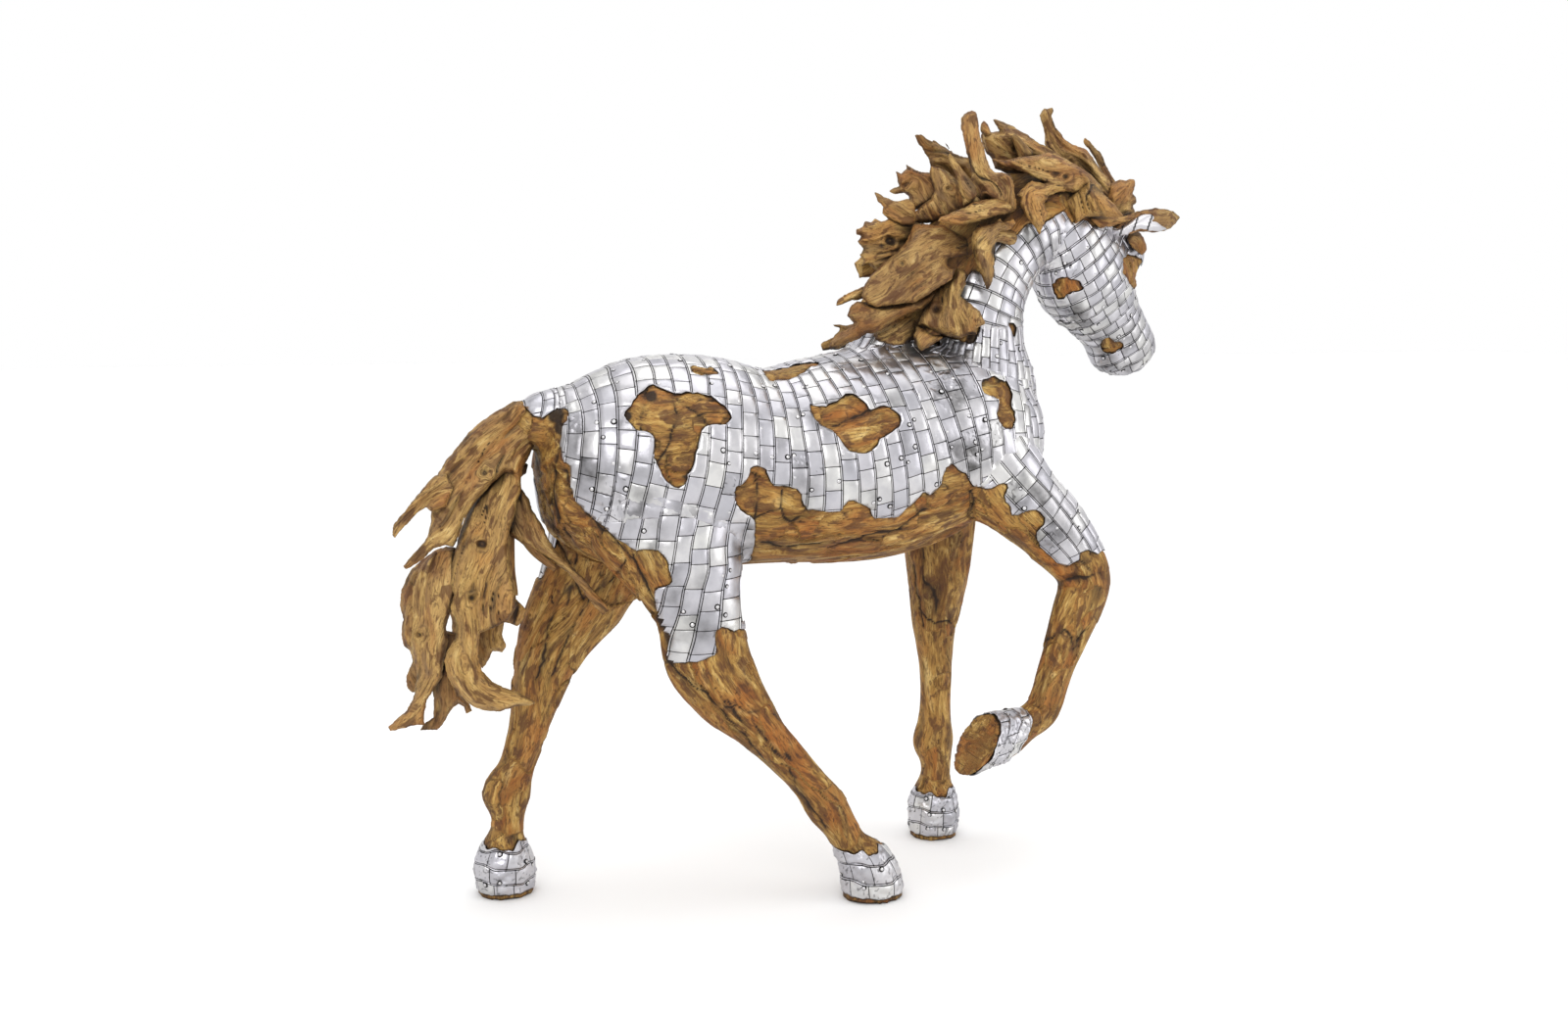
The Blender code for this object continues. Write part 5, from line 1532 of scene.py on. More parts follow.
def chiselled(across, along, half, total, draws):
    """A rough flat-faced surface, near 1 at its highest, made of planes that lean on the grain."""
    low, high = THICK_RANGE
    top = np.full(across.shape, high)
    wide = max(np.ptp(across), 1)
    for _ in range(FACE_COUNT):
        lean = draws.uniform(-FACE_LEAN, FACE_LEAN)
        tip = draws.uniform(-FACE_TIP, FACE_TIP)
        at = draws.uniform(-0.4, 0.4) * wide
        start = draws.uniform(0.1, 0.9) * total
        plane = draws.uniform(*FACE_OUT) + (lean * (across - at) + tip * (along - start)) / half
        top = np.minimum(top, plane)
    return np.clip(top, low, high)


def bell(x, middle, width):
    return np.exp(-(((x - middle) / width) ** 2))


def root_end(limb, offset, start):
    """The end of a piece that runs on behind its neighbours: points, grain and faces."""
    rows = np.flatnonzero(limb.reach <= END_SHARE * limb.reach[-1])
    size = np.interp(limb.reach[rows], (0, limb.reach[rows][-1]), END_SIZES)[:, None, None]
    centre = limb.centre[rows][:, None]
    points = centre + (limb.rings(END_SIDES)[rows] - centre) * size
    turn = turns_round(END_SIDES)
    grain = np.stack((
        limb.width[rows][:, None] * np.cos(turn), limb.depth[rows][:, None] * np.sin(turn),
        np.repeat(limb.reach[rows][:, None], END_SIDES, axis=1),
    ), -1)
    faces = [list(face) for face in tube_faces(len(rows), END_SIDES, start)]
    last = start + (len(rows) - 1) * END_SIDES
    faces.append(list(range(start, start + END_SIDES)))
    faces.append(list(range(last, last + END_SIDES)))
    return points.reshape(-1, 3), grain.reshape(-1, 3) + offset, faces


def slab(name, outline, stations, seed, view, proud=0.0, carved=1.0, forward=0.0):
    """A split piece of root with a drawn outline, flat chiselled faces, flutes, splits and eyes.

    view is the plane that the outline is drawn in. proud lifts both faces, carved is 0 for a
    plain piece, and forward brings it towards the eye.
    """
    draws = np.random.default_rng(seed)
    limb = Limb(stations, 1.0)
    cx, cy, cd = view.flatten(limb.centre)
    way = unit(np.stack((np.gradient(cx), np.gradient(cy)), -1))
    ring = np.array(outline, float)
    low = ring.min(axis=0) - 3
    high = ring.max(axis=0) + 3
    grid_x, grid_y = np.meshgrid(
        np.arange(low[0], high[0], SLAB_STEP), np.arange(low[1], high[1], SLAB_STEP), indexing="ij"
    )
    shape = grid_x.shape
    x, y = grid_x.ravel(), grid_y.ravel()
    offset = draws.uniform(0, 100, 3)
    flat = np.stack((x, y, np.zeros_like(x)), -1) * PIXEL + offset
    inside = outline_depth(outline, x, y) * PIXEL
    inside += carved * roughness(flat, RAGGED_ROOT)
    dx = x[:, None] - cx
    dy = y[:, None] - cy
    weight = 1 / (dx**2 + dy**2 + 9) ** 3
    weight /= weight.sum(axis=1, keepdims=True)
    along = np.sum(weight * (limb.reach + (dx * way[:, 0] + dy * way[:, 1]) * PIXEL), axis=1)
    across = np.sum(weight * (dy * way[:, 0] - dx * way[:, 1]) * PIXEL, axis=1)
    half = np.sum(weight * limb.width, axis=1)
    depth = np.sum(weight * cd, axis=1) + draws.uniform(-0.25, 0.25) * across * carved - forward
    total = limb.reach[-1]
    count = len(x)
    mean_way = unit(way.mean(axis=0))
    way_across = (-mean_way[1], mean_way[0])
    deep = np.flatnonzero(inside > EYE_ROOM)
    eyes = []
    if carved and len(deep) > EYE_LEAST:
        chosen = deep[draws.integers(0, len(deep), 1 + len(deep) // EYE_EACH)]
        eyes = list(zip(x[chosen], y[chosen]))
    rim = np.clip(inside / ROUND_OFF, 0, 1)
    rounded = np.sqrt(1 - (1 - rim) ** 2)
    layers = []
    for facing in (-1, 1):
        spot = np.stack((across, along, np.full_like(x, facing * FACES_APART)), -1) + offset
        spot[:, 0] += 2.2 * noise(spot * ROOT_BEND, 21)
        eye, ring, groove = np.zeros((3, count))
        for eye_x, eye_y in eyes if facing < 0 else ():
            away = np.hypot(x - eye_x, y - eye_y) * PIXEL + 1.1 * noise(flat / 1.9, 33)
            side = (x - eye_x) * way_across[0] + (y - eye_y) * way_across[1]
            spot[:, 0] -= 1.3 * np.tanh(side * PIXEL / 1.2) * bell(away, 0, 3.2)
            eye = np.maximum(eye, bell(away, 0, EYE_CORE))
            ring = np.maximum(ring, bell(away, *EYE_RING))
            groove = np.maximum(groove, 0.6 * bell(away, *EYE_GROOVE))
        ridges = 1 - 2 * abs(noise(spot * ROOT_RIDGES, 3))
        flutes = noise(spot * ROOT_FLUTES, 4)
        fine = noise(spot * ROOT_FINE, 5)
        split = noise(spot * ROOT_SPLITS, 6)
        split = smoothstep(0.05, 0.0, abs(split)) * smoothstep(0.0, 0.3, noise(spot * 0.13, 7))
        faces = chiselled(across, along, max(half.mean(), 1.5), total, draws)
        thick = np.minimum(half * rounded * (1 - carved + carved * faces), 1.5 * inside + 0.1)
        creased = 1 - 2 * abs(flutes)
        relief = 0.7 * ridges + 0.36 * creased + 0.16 * fine - 0.7 * split
        relief += 0.4 * ring - 0.7 * eye
        relief *= smoothstep(0.1, 1.2, inside) * carved
        thick = np.maximum(thick + relief, 0.02) + proud
        # Dark splits, and painted shade in knot eyes, the grooves round them, flute and ridge valleys,
        # near the edge and in the listed recesses.
        cracks_and_shade = 0.9 * split + 0.8 * eye**2 + 0.5 * groove + 0.5 * smoothstep(0.0, 0.8, -creased)
        cracks_and_shade += 0.35 * smoothstep(0.1, 0.9, -ridges)
        cracks_and_shade += 0.4 * smoothstep(1.0, 0.0, inside) * smoothstep(-0.4, 0.3, noise(spot * 0.2, 9))
        if view is FromCamera and facing < 0:
            cracks_and_shade += painted_recess_shadow(x, y)
        grain = np.stack((spot[:, 0], thick, spot[:, 1]), -1)
        layers.append((view.place(x, y, depth + facing * thick), grain, cracks_and_shade * carved))
    quads = grid_quads(np.arange(count).reshape(shape))
    kept = inside[quads] > 0
    whole = quads[kept.all(axis=1)]
    faces = whole.tolist() + (whole[:, ::-1] + count).tolist()
    rims = []
    found = {}

    def cut(a, b):
        key = (a, b) if a < b else (b, a)
        if key not in found:
            share = inside[a] / (inside[a] - inside[b])
            found[key] = 2 * count + len(rims)
            rims.append((a, b, share))
        return found[key]

    for quad in quads[kept.any(axis=1) & ~kept.all(axis=1)].tolist():
        front = []
        back = []
        for a, b in zip(quad, quad[1:] + quad[:1]):
            if inside[a] > 0:
                front.append(a)
                back.append(a + count)
            if (inside[a] > 0) != (inside[b] > 0):
                middle = cut(a, b)
                front.append(middle)
                back.append(middle)
        faces.append(front)
        faces.append(back[::-1])
    first, second, share = (np.array(column) for column in zip(*rims))

    def on_rim(values):
        weight = share if values.ndim == 1 else share[:, None]
        return values[first] * (1 - weight) + values[second] * weight

    edge = view.place(on_rim(x), on_rim(y), on_rim(depth))
    points = np.vstack((layers[0][0], layers[1][0], edge))
    grain = np.vstack((layers[0][1], layers[1][1], on_rim(layers[0][1])))
    # The cut edge gets a little painted shade, and a hidden end more.
    cracks_and_shade = np.concatenate((layers[0][2], layers[1][2], np.full(len(edge), 0.25 * carved)))
    if name.removesuffix(".carved") in HIDDEN_ENDS:
        end_points, end_grain, end_faces = root_end(limb, offset, len(points))
        points = np.vstack((points, end_points))
        grain = np.vstack((grain, end_grain))
        cracks_and_shade = np.concatenate((cracks_and_shade, np.full(len(end_points), END_SHADE)))
        faces += end_faces
    used, faces = drop_unused(len(points), faces)
    obj = mesh_object(name, points[used], faces)
    bm = bmesh.new()
    bm.from_mesh(obj.data)
    bmesh.ops.recalc_face_normals(bm, faces=bm.faces)
    bm.to_mesh(obj.data)
    bm.free()
    add_attribute(obj, "grain", grain[used], "FLOAT_VECTOR")
    add_attribute(obj, "cracks_and_shade", np.clip(cracks_and_shade[used], 0, 1))
    add_attribute(obj, "tone", np.full(len(used), draws.uniform(0, 1)))
    return obj


# Materials

def shader_tree(name):
    material = bpy.data.materials.new(name)
    material.use_nodes = True
    tree = material.node_tree
    shader = tree.nodes["Principled BSDF"]
    return material, tree, shader


class Nodes:
    """Short forms for adding nodes and joining them."""

    def __init__(self, tree):
        self.tree = tree

    def add(self, kind, inputs=None, **settings):
        node = self.tree.nodes.new("ShaderNode" + kind)
        for key, value in settings.items():
            setattr(node, key, value)
        for key, value in (inputs or {}).items():
            self.put(value, node.inputs[key])
        return node

    def put(self, value, socket):
        if isinstance(value, bpy.types.NodeSocket):
            self.tree.links.new(value, socket)
        else:
            socket.default_value = value

    def attribute(self, name, output="Fac"):
        return self.add("Attribute", attribute_name=name).outputs[output]

    def noise(self, vector, scale, detail=4, rough=0.55, distortion=0):
        made = self.add(
            "TexNoise", {"Vector": vector, "Scale": scale, "Detail": detail, "Roughness": rough,
                         "Distortion": distortion}
        )
        return made.outputs["Fac"]

    def stretch(self, vector, scale):
        made = self.add("Mapping", {"Vector": vector, "Scale": scale})
        return made.outputs["Vector"]

    def ramp(self, factor, stops):
        node = self.add("ValToRGB", {"Fac": factor})
        ramp = node.color_ramp
        while len(ramp.elements) < len(stops):
            ramp.elements.new(0.5)
        for element, (place, colour) in zip(ramp.elements, stops):
            element.position = place
            if not isinstance(colour, tuple):
                colour = (colour, colour, colour)
            element.color = (*colour, 1)
        return node.outputs["Color"]

    def mix(self, factor, first, second, mode="MIX"):
        node = self.add("Mix", data_type="RGBA", blend_type=mode)
        self.put(factor, node.inputs[0])
        self.put(first, node.inputs[6])
        self.put(second, node.inputs[7])
        return node.outputs[2]

    def maths(self, kind, first, second=0.5, third=0.0):
        node = self.add("Math", operation=kind)
        self.put(first, node.inputs[0])
        self.put(second, node.inputs[1])
        self.put(third, node.inputs[2])
        return node.outputs[0]


def rgb(r, g, b):
    """A linear colour from the eight-bit numbers of a screen."""
    out = []
    for value in (r, g, b):
        value /= 255
        out.append(value / 12.92 if value <= 0.04045 else ((value + 0.055) / 1.055) ** 2.4)
    return tuple(out)


def paint(r, g, b):
    return (*rgb(r, g, b), 1)


def wood_material(name, pale=0.0):
    """Figured wood, dark in its cracks and with painted shade. A pale one is greyer and has less
    orange in it.
    """
    material, tree, shader = shader_tree(name)
    n = Nodes(tree)
    grain = n.attribute("grain", "Vector")
    cracks_and_shade = n.attribute("cracks_and_shade")
    tone = n.attribute("tone")
    broad = n.noise(n.stretch(grain, (0.14, 0.14, 0.05)), 1, 3, 0.5, 0.8)
    figure = n.noise(n.stretch(grain, (0.4, 0.4, 0.1)), 1, 5, 0.58, 1.0)
    streak = n.noise(n.stretch(grain, (2.6, 2.6, 0.2)), 1, 4, 0.6, 0.4)
    fine = n.noise(n.stretch(grain, (8, 8, 0.6)), 1, 3, 0.6)
    base = n.ramp(figure, (
        (0.34, rgb(100, 64, 24)), (0.44, rgb(138, 98, 42)), (0.52, rgb(164, 124, 58)),
        (0.6, rgb(190, 152, 82)), (0.7, rgb(216, 184, 116)),
    ))
    base = n.mix(pale, base, paint(206, 178, 132))
    orange = n.ramp(broad, ((0.46, 0.0), (0.64, 0.7 - pale)))
    warm = n.mix(orange, base, paint(160, 92, 30))
    deep = n.mix(n.ramp(tone, ((0.0, 0.4), (0.4, 0.0))), warm, paint(108, 72, 32))
    light = n.mix(n.ramp(tone, ((0.6, 0.0), (1.0, 0.35))), deep, paint(196, 156, 84))
    lined = n.mix(n.ramp(streak, ((0.36, 0.75), (0.48, 0.0))), light, paint(76, 48, 20))
    thin = n.mix(n.ramp(fine, ((0.34, 0.5), (0.48, 0.0))), lined, paint(92, 60, 26))
    spots = n.noise(n.stretch(grain, (0.42, 0.42, 0.2)), 1, 3, 0.55, 0.5)
    mottled = n.mix(n.ramp(spots, ((0.54, 0.0), (0.61, 0.75))), thin, paint(88, 52, 24))
    flecks = n.noise(n.stretch(grain, (1.4, 1.4, 0.5)), 1, 2, 0.5, 0.3)
    flecked = n.mix(n.ramp(flecks, ((0.62, 0.0), (0.7, 0.65))), mottled, paint(70, 42, 22))
    # Dark cracks and joints, and painted shade in hollows and recesses, from the mesh's darkness
    # values.
    dark = n.mix(n.ramp(cracks_and_shade, ((0.08, 0.0), (0.8, 0.95))), flecked, paint(36, 22, 10))
    # Painted shade: darker where ambient occlusion finds the wood closed in.
    occlusion_shade = n.add("AmbientOcclusion", {"Distance": 0.09}, samples=8).outputs["AO"]
    dark = n.mix(n.ramp(occlusion_shade, ((0.22, 0.95), (0.7, 0.0))), dark, paint(34, 21, 10))
    n.put(dark, shader.inputs["Base Color"])
    rough = n.ramp(streak, ((0.3, 0.66), (0.7, 0.48)))
    n.put(rough, shader.inputs["Roughness"])
    shader.inputs["Specular IOR Level"].default_value = 0.35
    height = n.maths("ADD", n.maths("MULTIPLY", streak, 0.6), n.maths("MULTIPLY", fine, 0.4))
    bump = n.add("Bump", {"Height": height, "Strength": 0.7, "Distance": 0.004})
    n.put(bump.outputs["Normal"], shader.inputs["Normal"])
    return material


def metal_material(name):
    """Pale sheet, clouded and dented, dark in its seams, and with painted dark reflections where shade
    is high.
    """
    material, tree, shader = shader_tree(name)
    n = Nodes(tree)
    seam = n.attribute("seam")
    tone = n.attribute("tone")
    place = n.add("TexCoord").outputs["Object"]
    cloud = n.noise(place, 20, 4)
    scratch = n.noise(n.stretch(place, (60, 60, 240)), 1, 3)
    shade = n.attribute("shade")
    plain = n.ramp(tone, (
        (0.0, rgb(214, 213, 219)), (0.3, rgb(227, 225, 231)), (0.7, rgb(238, 236, 238)),
        (1.0, rgb(248, 247, 244)),
    ))
    clouded = n.mix(n.ramp(cloud, ((0.35, 0.35), (0.58, 0.0))), plain, paint(190, 189, 198))
    # Painted dark reflections where the shade values are high, broken up by the clouds.
    painted_reflection = n.maths("MULTIPLY", shade, n.ramp(cloud, ((0.3, 1.0), (0.7, 0.45))))
    clouded = n.mix(painted_reflection, clouded, paint(84, 82, 80))
    # The seam darkness: dark joints, with painted shade on creases, nail rims and cut edges.
    seamed = n.mix(n.ramp(seam, ((0.2, 0.0), (0.7, 1.0))), clouded, paint(30, 27, 25))
    n.put(seamed, shader.inputs["Base Color"])
    shader.inputs["Metallic"].default_value = 1.0
    rough = n.maths("MULTIPLY_ADD", cloud, 0.2, 0.25)
    n.put(n.maths("MULTIPLY_ADD", seam, 0.25, rough), shader.inputs["Roughness"])
    height = n.maths("ADD", cloud, n.maths("MULTIPLY", scratch, 0.15))
    bump = n.add("Bump", {"Height": height, "Strength": 0.4, "Distance": 0.004})
    n.put(bump.outputs["Normal"], shader.inputs["Normal"])
    return material


# The wooden body's surface

# The blocks' size across and along a limb, how far their middles stray from an even grid, and how
# far apart the grain of two limbs and of two blocks is.
BLOCK_SIZE = (17, 17, 40)
BLOCK_JITTER = 0.42
LIMBS_APART = 37.0
BLOCKS_APART = (40, 25, 90)
# Lumps in a centimetre across, up and along a limb, for each kind of relief.
BODY_BEND = (0.2, 0.2, 0.08)
BODY_LUMPS = (0.13, 0.13, 0.05)
BODY_RIDGES = (0.2, 0.2, 0.05)
BODY_FLUTES = (0.5, 0.5, 0.07)
BODY_FINE = (1.3, 1.3, 0.12)
BODY_SPLITS = (0.35, 0.35, 0.03)


def swirl(points, apart, seed, columns=3):
    """A smooth random offset for each point."""
    return np.stack([noise(points + apart * k, seed) for k in range(columns)], -1)


def blocks(points, seed):
    """Cells of joined wood blocks: how near each point is to a joint, and its cell's number."""
    base = np.floor(points).astype(np.int64)
    first = np.full(len(points), 9.0)
    second = np.full(len(points), 9.0)
    cell = np.zeros(len(points))
    for i in range(-1, 2):
        for j in range(-1, 2):
            for k in range(-1, 2):
                at = base + (i, j, k)
                jitter = np.stack([lattice(*at.T, seed + 7 * c) for c in range(3)], -1)
                away = np.linalg.norm(at + 0.5 + BLOCK_JITTER * jitter - points, axis=1)
                number = lattice(*at.T, seed + 91)
                nearer = away < first
                second = np.where(nearer, first, np.minimum(second, away))
                cell = np.where(nearer, number, cell)
                first = np.where(nearer, away, first)
    return second - first, cell


# Joints and cracks that show in the bare wood, as the camera sees them, and the limb they are on.
CRACKS = [
    (
        ("trunk",),
        [(768, 532), (786, 524), (798, 519), (804, 529), (811, 531), (820, 526), (823, 520)],
    ),
    (("trunk",), [(799, 501), (798, 519)]),
    (("trunk", "near_hind"), [(771, 483), (772, 505), (770, 529)]),
    (("trunk", "near_hind"), [(661, 395), (655, 418), (652, 440)]),
    (("trunk", "near_hind"), [(680, 398), (700, 415), (719, 432)]),
    (("trunk",), [(850, 435), (861, 430), (871, 426), (883, 421), (888, 419)]),
    (("near_hind",), [(716, 704), (731, 721), (741, 734), (783, 779)]),
    (("near_hind",), [(731, 721), (747, 724), (754, 738), (761, 749)]),
    (("near_hind",), [(741, 716), (760, 727), (791, 732)]),
    (("near_hind",), [(683, 678), (698, 690), (712, 704)]),
    (("far_hind",), [(563, 611), (560, 643), (554, 677), (544, 695)]),
    (("near_hind", "far_hind"), [(647, 568), (660, 599), (674, 635)]),
    (("near_hind", "trunk"), [(575, 480), (592, 520), (625, 552), (650, 575)]),
    (
        ("near_hind", "trunk", "far_hind"),
        [(571, 455), (563, 480), (563, 508), (570, 534), (579, 549)],
    ),
    (("near_hind", "trunk", "far_hind"), [(560, 505), (563, 532), (574, 560), (590, 588)]),
    (("near_hind", "far_hind"), [(604, 546), (590, 562), (586, 588), (594, 612)]),
    (("near_hind", "far_hind"), [(640, 572), (626, 592), (604, 604), (590, 628)]),
    (("far_hind",), [(588, 640), (570, 668), (560, 700)]),
    (("trunk", "near_hind"), [(672, 470), (684, 452), (690, 430), (686, 408)]),
    (("trunk",), [(845, 560), (880, 548), (915, 540), (945, 522)]),
    (("trunk",), [(778, 552), (810, 557), (850, 553)]),
    (("near_hind",), [(770, 742), (800, 778), (822, 815), (840, 845)]),
    (("far_fore",), [(931, 575), (935, 605), (940, 640)]),
    (("far_fore",), [(942, 559), (943, 590), (953, 604), (957, 627), (963, 633)]),
    (("far_fore",), [(936, 622), (945, 632), (957, 639), (970, 635)]),
    (("near_fore",), [(1083, 596), (1103, 590), (1127, 587)]),
    (("near_fore",), [(1067, 658), (1075, 650), (1086, 644), (1091, 652), (1095, 662), (1109, 644)]),
    (("near_fore",), [(1089, 579), (1103, 569), (1118, 585)]),
    (("near_fore", "trunk"), [(993, 498), (996, 510), (993, 521)]),
]


# Painted shadow in deep recesses, almost black: a place in the picture and how wide each is, in
# pixels.
RECESS_SHADOWS = [
    (568, 424, 13), (573, 437, 9), (1018, 254, 8), (1030, 246, 9), (1006, 300, 9), (993, 345, 9),
    (930, 350, 9), (665, 405, 8), (640, 425, 7),
]


def painted_recess_shadow(x, y):
    dark = np.zeros(np.shape(x))
    for cx, cy, size in RECESS_SHADOWS:
        dark = np.maximum(dark, smoothstep(size, 0.35 * size, np.hypot(x - cx, y - cy)))
    return dark


def crack_gap(points, limb):
    """How far points lie from the nearest drawn crack on their own limb, in centimetres."""
    x, y = picture(points)
    gap = np.full(len(points), 9.0)
    for names, line in CRACKS:
        there = np.isin(limb, [LIMB_NAMES.index(name) for name in names])
        u, v = x[there], y[there]
        best = gap[there]
        for start, end in zip(line, line[1:]):
            best = np.minimum(best, np.hypot(*offset_from(start, end, u, v)) * PIXEL)
        gap[there] = best
    return gap


# The metal round a hoof: its lower and upper edge above the sole, on a standing hoof and on the
# raised one, its upper edge's waves, its raggedness, and how far from the hoof's middle it reaches.
HOOF_FOOT = 1.8
HOOF_TOP = 14
RAISED_FOOT = 0.9
RAISED_TOP = 10
BAND_WAVES = ((0.6, 3, 0), (0.5, 5, 1), (0.3, 11, 0))
RAGGED_BAND = ((0.45, 1.6, 5),)
BAND_REACH = 15


def band_mask(middle, sole, faces, low, high):
    """A mask for the metal band round a hoof, measured up from its sole, with a wavy top."""
    up = -unit(faces)
    side = unit(np.cross(up, (0.3, 0.9, 0.1)))
    front = np.cross(up, side)

    def mask(points, limb):
        height = (points - sole) @ up
        around = points - middle
        turn = np.arctan2(around @ front, around @ side)
        wave = sum(rise * np.sin(count * turn + lag) for rise, count, lag in BAND_WAVES)
        near = BAND_REACH - np.linalg.norm(around, axis=1)
        ragged = roughness(points, RAGGED_BAND)
        return np.minimum(np.minimum(height - low, high + wave - height), near) + ragged

    return mask


STANDING = {
    "near_hind": NEAR_HIND_HOOF, "far_hind": FAR_HIND_HOOF, "far_fore": FAR_FORE_HOOF,
}
RAISED_MIDDLE = np.array(NEAR_FORE[-3][:3], float)
HOOF_MASKS = {}
for leg, stations in STANDING.items():
    middle = np.array(stations[2][:3], float)
    HOOF_MASKS[leg] = band_mask(middle, middle * (1, 1, 0), DOWN, HOOF_FOOT, HOOF_TOP)
HOOF_MASKS["near_fore"] = band_mask(
    RAISED_MIDDLE, RAISED_SOLE, RAISED_SOLE_FACES, RAISED_FOOT, RAISED_TOP
)


def hoof_depth(points, limb):
    return np.max([mask(points, limb) for mask in HOOF_MASKS.values()], axis=0)


def carve_body(obj, limbs):
    """Give the bare wood its joints, splits and unevenness, and painted shade in its valleys, recesses
    and along the metal's edge. It sinks a little under the metal.
    """
    mesh = obj.data
    points = vertex_array(mesh) / CM
    normals = vertex_array(mesh, "normal")
    limb, local = locate(points, limbs)
    covered = np.maximum(plate_depth(points, limb), hoof_depth(points, limb))
    warp = swirl(points / 6, 13, 41)
    placed = local + warp * (3, 3, 6) + limb[:, None] * LIMBS_APART
    gap, cell = blocks(placed / BLOCK_SIZE, 3)
    facing = np.sum(unit(CAMERA - points) * normals, axis=1) > 0
    ragged = swirl(points / 1.7, 5, 47)
    drawn = np.where(facing, crack_gap(points + 0.9 * warp + 0.4 * ragged, limb), 9)
    valley = smoothstep(2.4, 0.0, drawn)
    drawn = smoothstep(0.4, 0.06, drawn) * smoothstep(-0.75, 0.1, noise(points / 2.2, 48))
    joint = smoothstep(0.014, 0.0, gap) * smoothstep(-0.05, 0.25, noise(points / 9, 44))
    joint = np.maximum(0.8 * joint, drawn)
    bent = local + limb[:, None] * LIMBS_APART + cell[:, None] * BLOCKS_APART
    bent[:, :2] += 2.0 * swirl(bent * BODY_BEND, 31, 21, 2)
    lumps = noise(bent * BODY_LUMPS, 3)
    ridges = 1 - 2 * abs(noise(bent * BODY_RIDGES, 8))
    flutes = noise(bent * BODY_FLUTES, 4)
    fine = noise(bent * BODY_FINE, 5)
    split = noise(bent * BODY_SPLITS, 6)
    split = smoothstep(0.035, 0.0, abs(split)) * smoothstep(0.1, 0.35, noise(bent * 0.08, 7))
    bare = smoothstep(0.3, -0.6, covered)
    rise = 0.6 * lumps + 0.45 * ridges + 0.2 * flutes + 0.07 * fine - 0.4 * split - 0.4 * joint
    rise = (rise - 0.5 * valley) * (0.45 + 0.55 * smoothstep(30, 85, points[:, 2]))
    rise = rise * bare - 0.25 * smoothstep(-0.9, -0.1, covered)
    past_sole = (points - RAISED_SOLE) @ unit(RAISED_SOLE_FACES)
    by_hoof = np.linalg.norm(points - RAISED_SOLE, axis=1) < RAISED_FETLOCK
    still = (points[:, 2] < 0.4) | ((past_sole > -0.4) & by_hoof)
    rise = np.where(still, 0, rise)
    moved = points + normals * rise[:, None]
    moved[:, 2] = np.maximum(moved[:, 2], 0)
    mesh.vertices.foreach_set("co", (moved * CM).ravel())
    mesh.update()
    mesh.shade_smooth()
    add_attribute(obj, "grain", bent, "FLOAT_VECTOR")
    # Dark joints and splits, and painted shade in flute, crack and ridge valleys, the listed recesses,
    # and along and under the metal's edge.
    cracks_and_shade = 0.75 * split + 0.7 * joint + 0.3 * smoothstep(0.1, 0.6, -flutes) + 0.25 * valley
    cracks_and_shade += np.where(facing, painted_recess_shadow(*picture(points)), 0)
    cracks_and_shade += 0.3 * smoothstep(0.3, 0.9, -ridges)
    cracks_and_shade += 0.75 * smoothstep(-0.6, 0.1, covered)
    add_attribute(obj, "cracks_and_shade", np.clip(cracks_and_shade, 0, 1))
    add_attribute(obj, "tone", 0.5 + 0.35 * cell)


# Making everything

# The wood that lies this deep under metal, or deeper, keeps the coarse mesh.
BARE_DEPTH = 1.0

coarse = make_limbs(COARSE_STEP)
LIMB_NAMES.extend(coarse)

form = body_form(make_limbs(BODY_STEP))
TREE = BVHTree.FromPolygons(
    [tuple(v.co) for v in form.vertices], [tuple(p.vertices) for p in form.polygons]
)
wood = wood_material("body wood")
form_points = vertex_array(form) / CM
form_limb = locate(form_points, coarse)[0]
form_cover = plate_depth(form_points, form_limb)
form_cover = np.maximum(form_cover, hoof_depth(form_points, form_limb))
quads = [tuple(p.vertices) for p in form.polygons]
deepest = np.array([form_cover[list(q)].min() for q in quads])
owner = np.array([form_limb[q[0]] for q in quads])
HIND = [LIMB_NAMES.index(n) for n in ("near_hind", "far_hind", "near_hind_hoof", "far_hind_hoof")]
FORE = [LIMB_NAMES.index(n) for n in ("near_fore", "far_fore", "far_fore_hoof")]
bare = deepest < BARE_DEPTH
parts = {
    "wooden_core": (~bare, 0),
    "bare_hind_legs": (bare & np.isin(owner, HIND), 1),
    "bare_forelegs": (bare & np.isin(owner, FORE), 1),
    "bare_trunk": (bare & ~np.isin(owner, HIND + FORE), 1),
}
for name, (chosen, levels) in parts.items():
    used, faces = drop_unused(len(form_points), [q for q, use in zip(quads, chosen) if use])
    obj = mesh_object(name, form_points[used], faces)
    if levels:
        finer = obj.modifiers.new("finer", "SUBSURF")
        finer.levels = levels
        finer.render_levels = levels
        finer.boundary_smooth = "PRESERVE_CORNERS"
        mesh = bpy.data.meshes.new_from_object(
            obj.evaluated_get(bpy.context.evaluated_depsgraph_get())
        )
        obj.modifiers.clear()
        obj.data = mesh
    carve_body(obj, coarse)
    obj.data.materials.append(wood)
    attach(obj, "root")
    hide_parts("wooden_body")

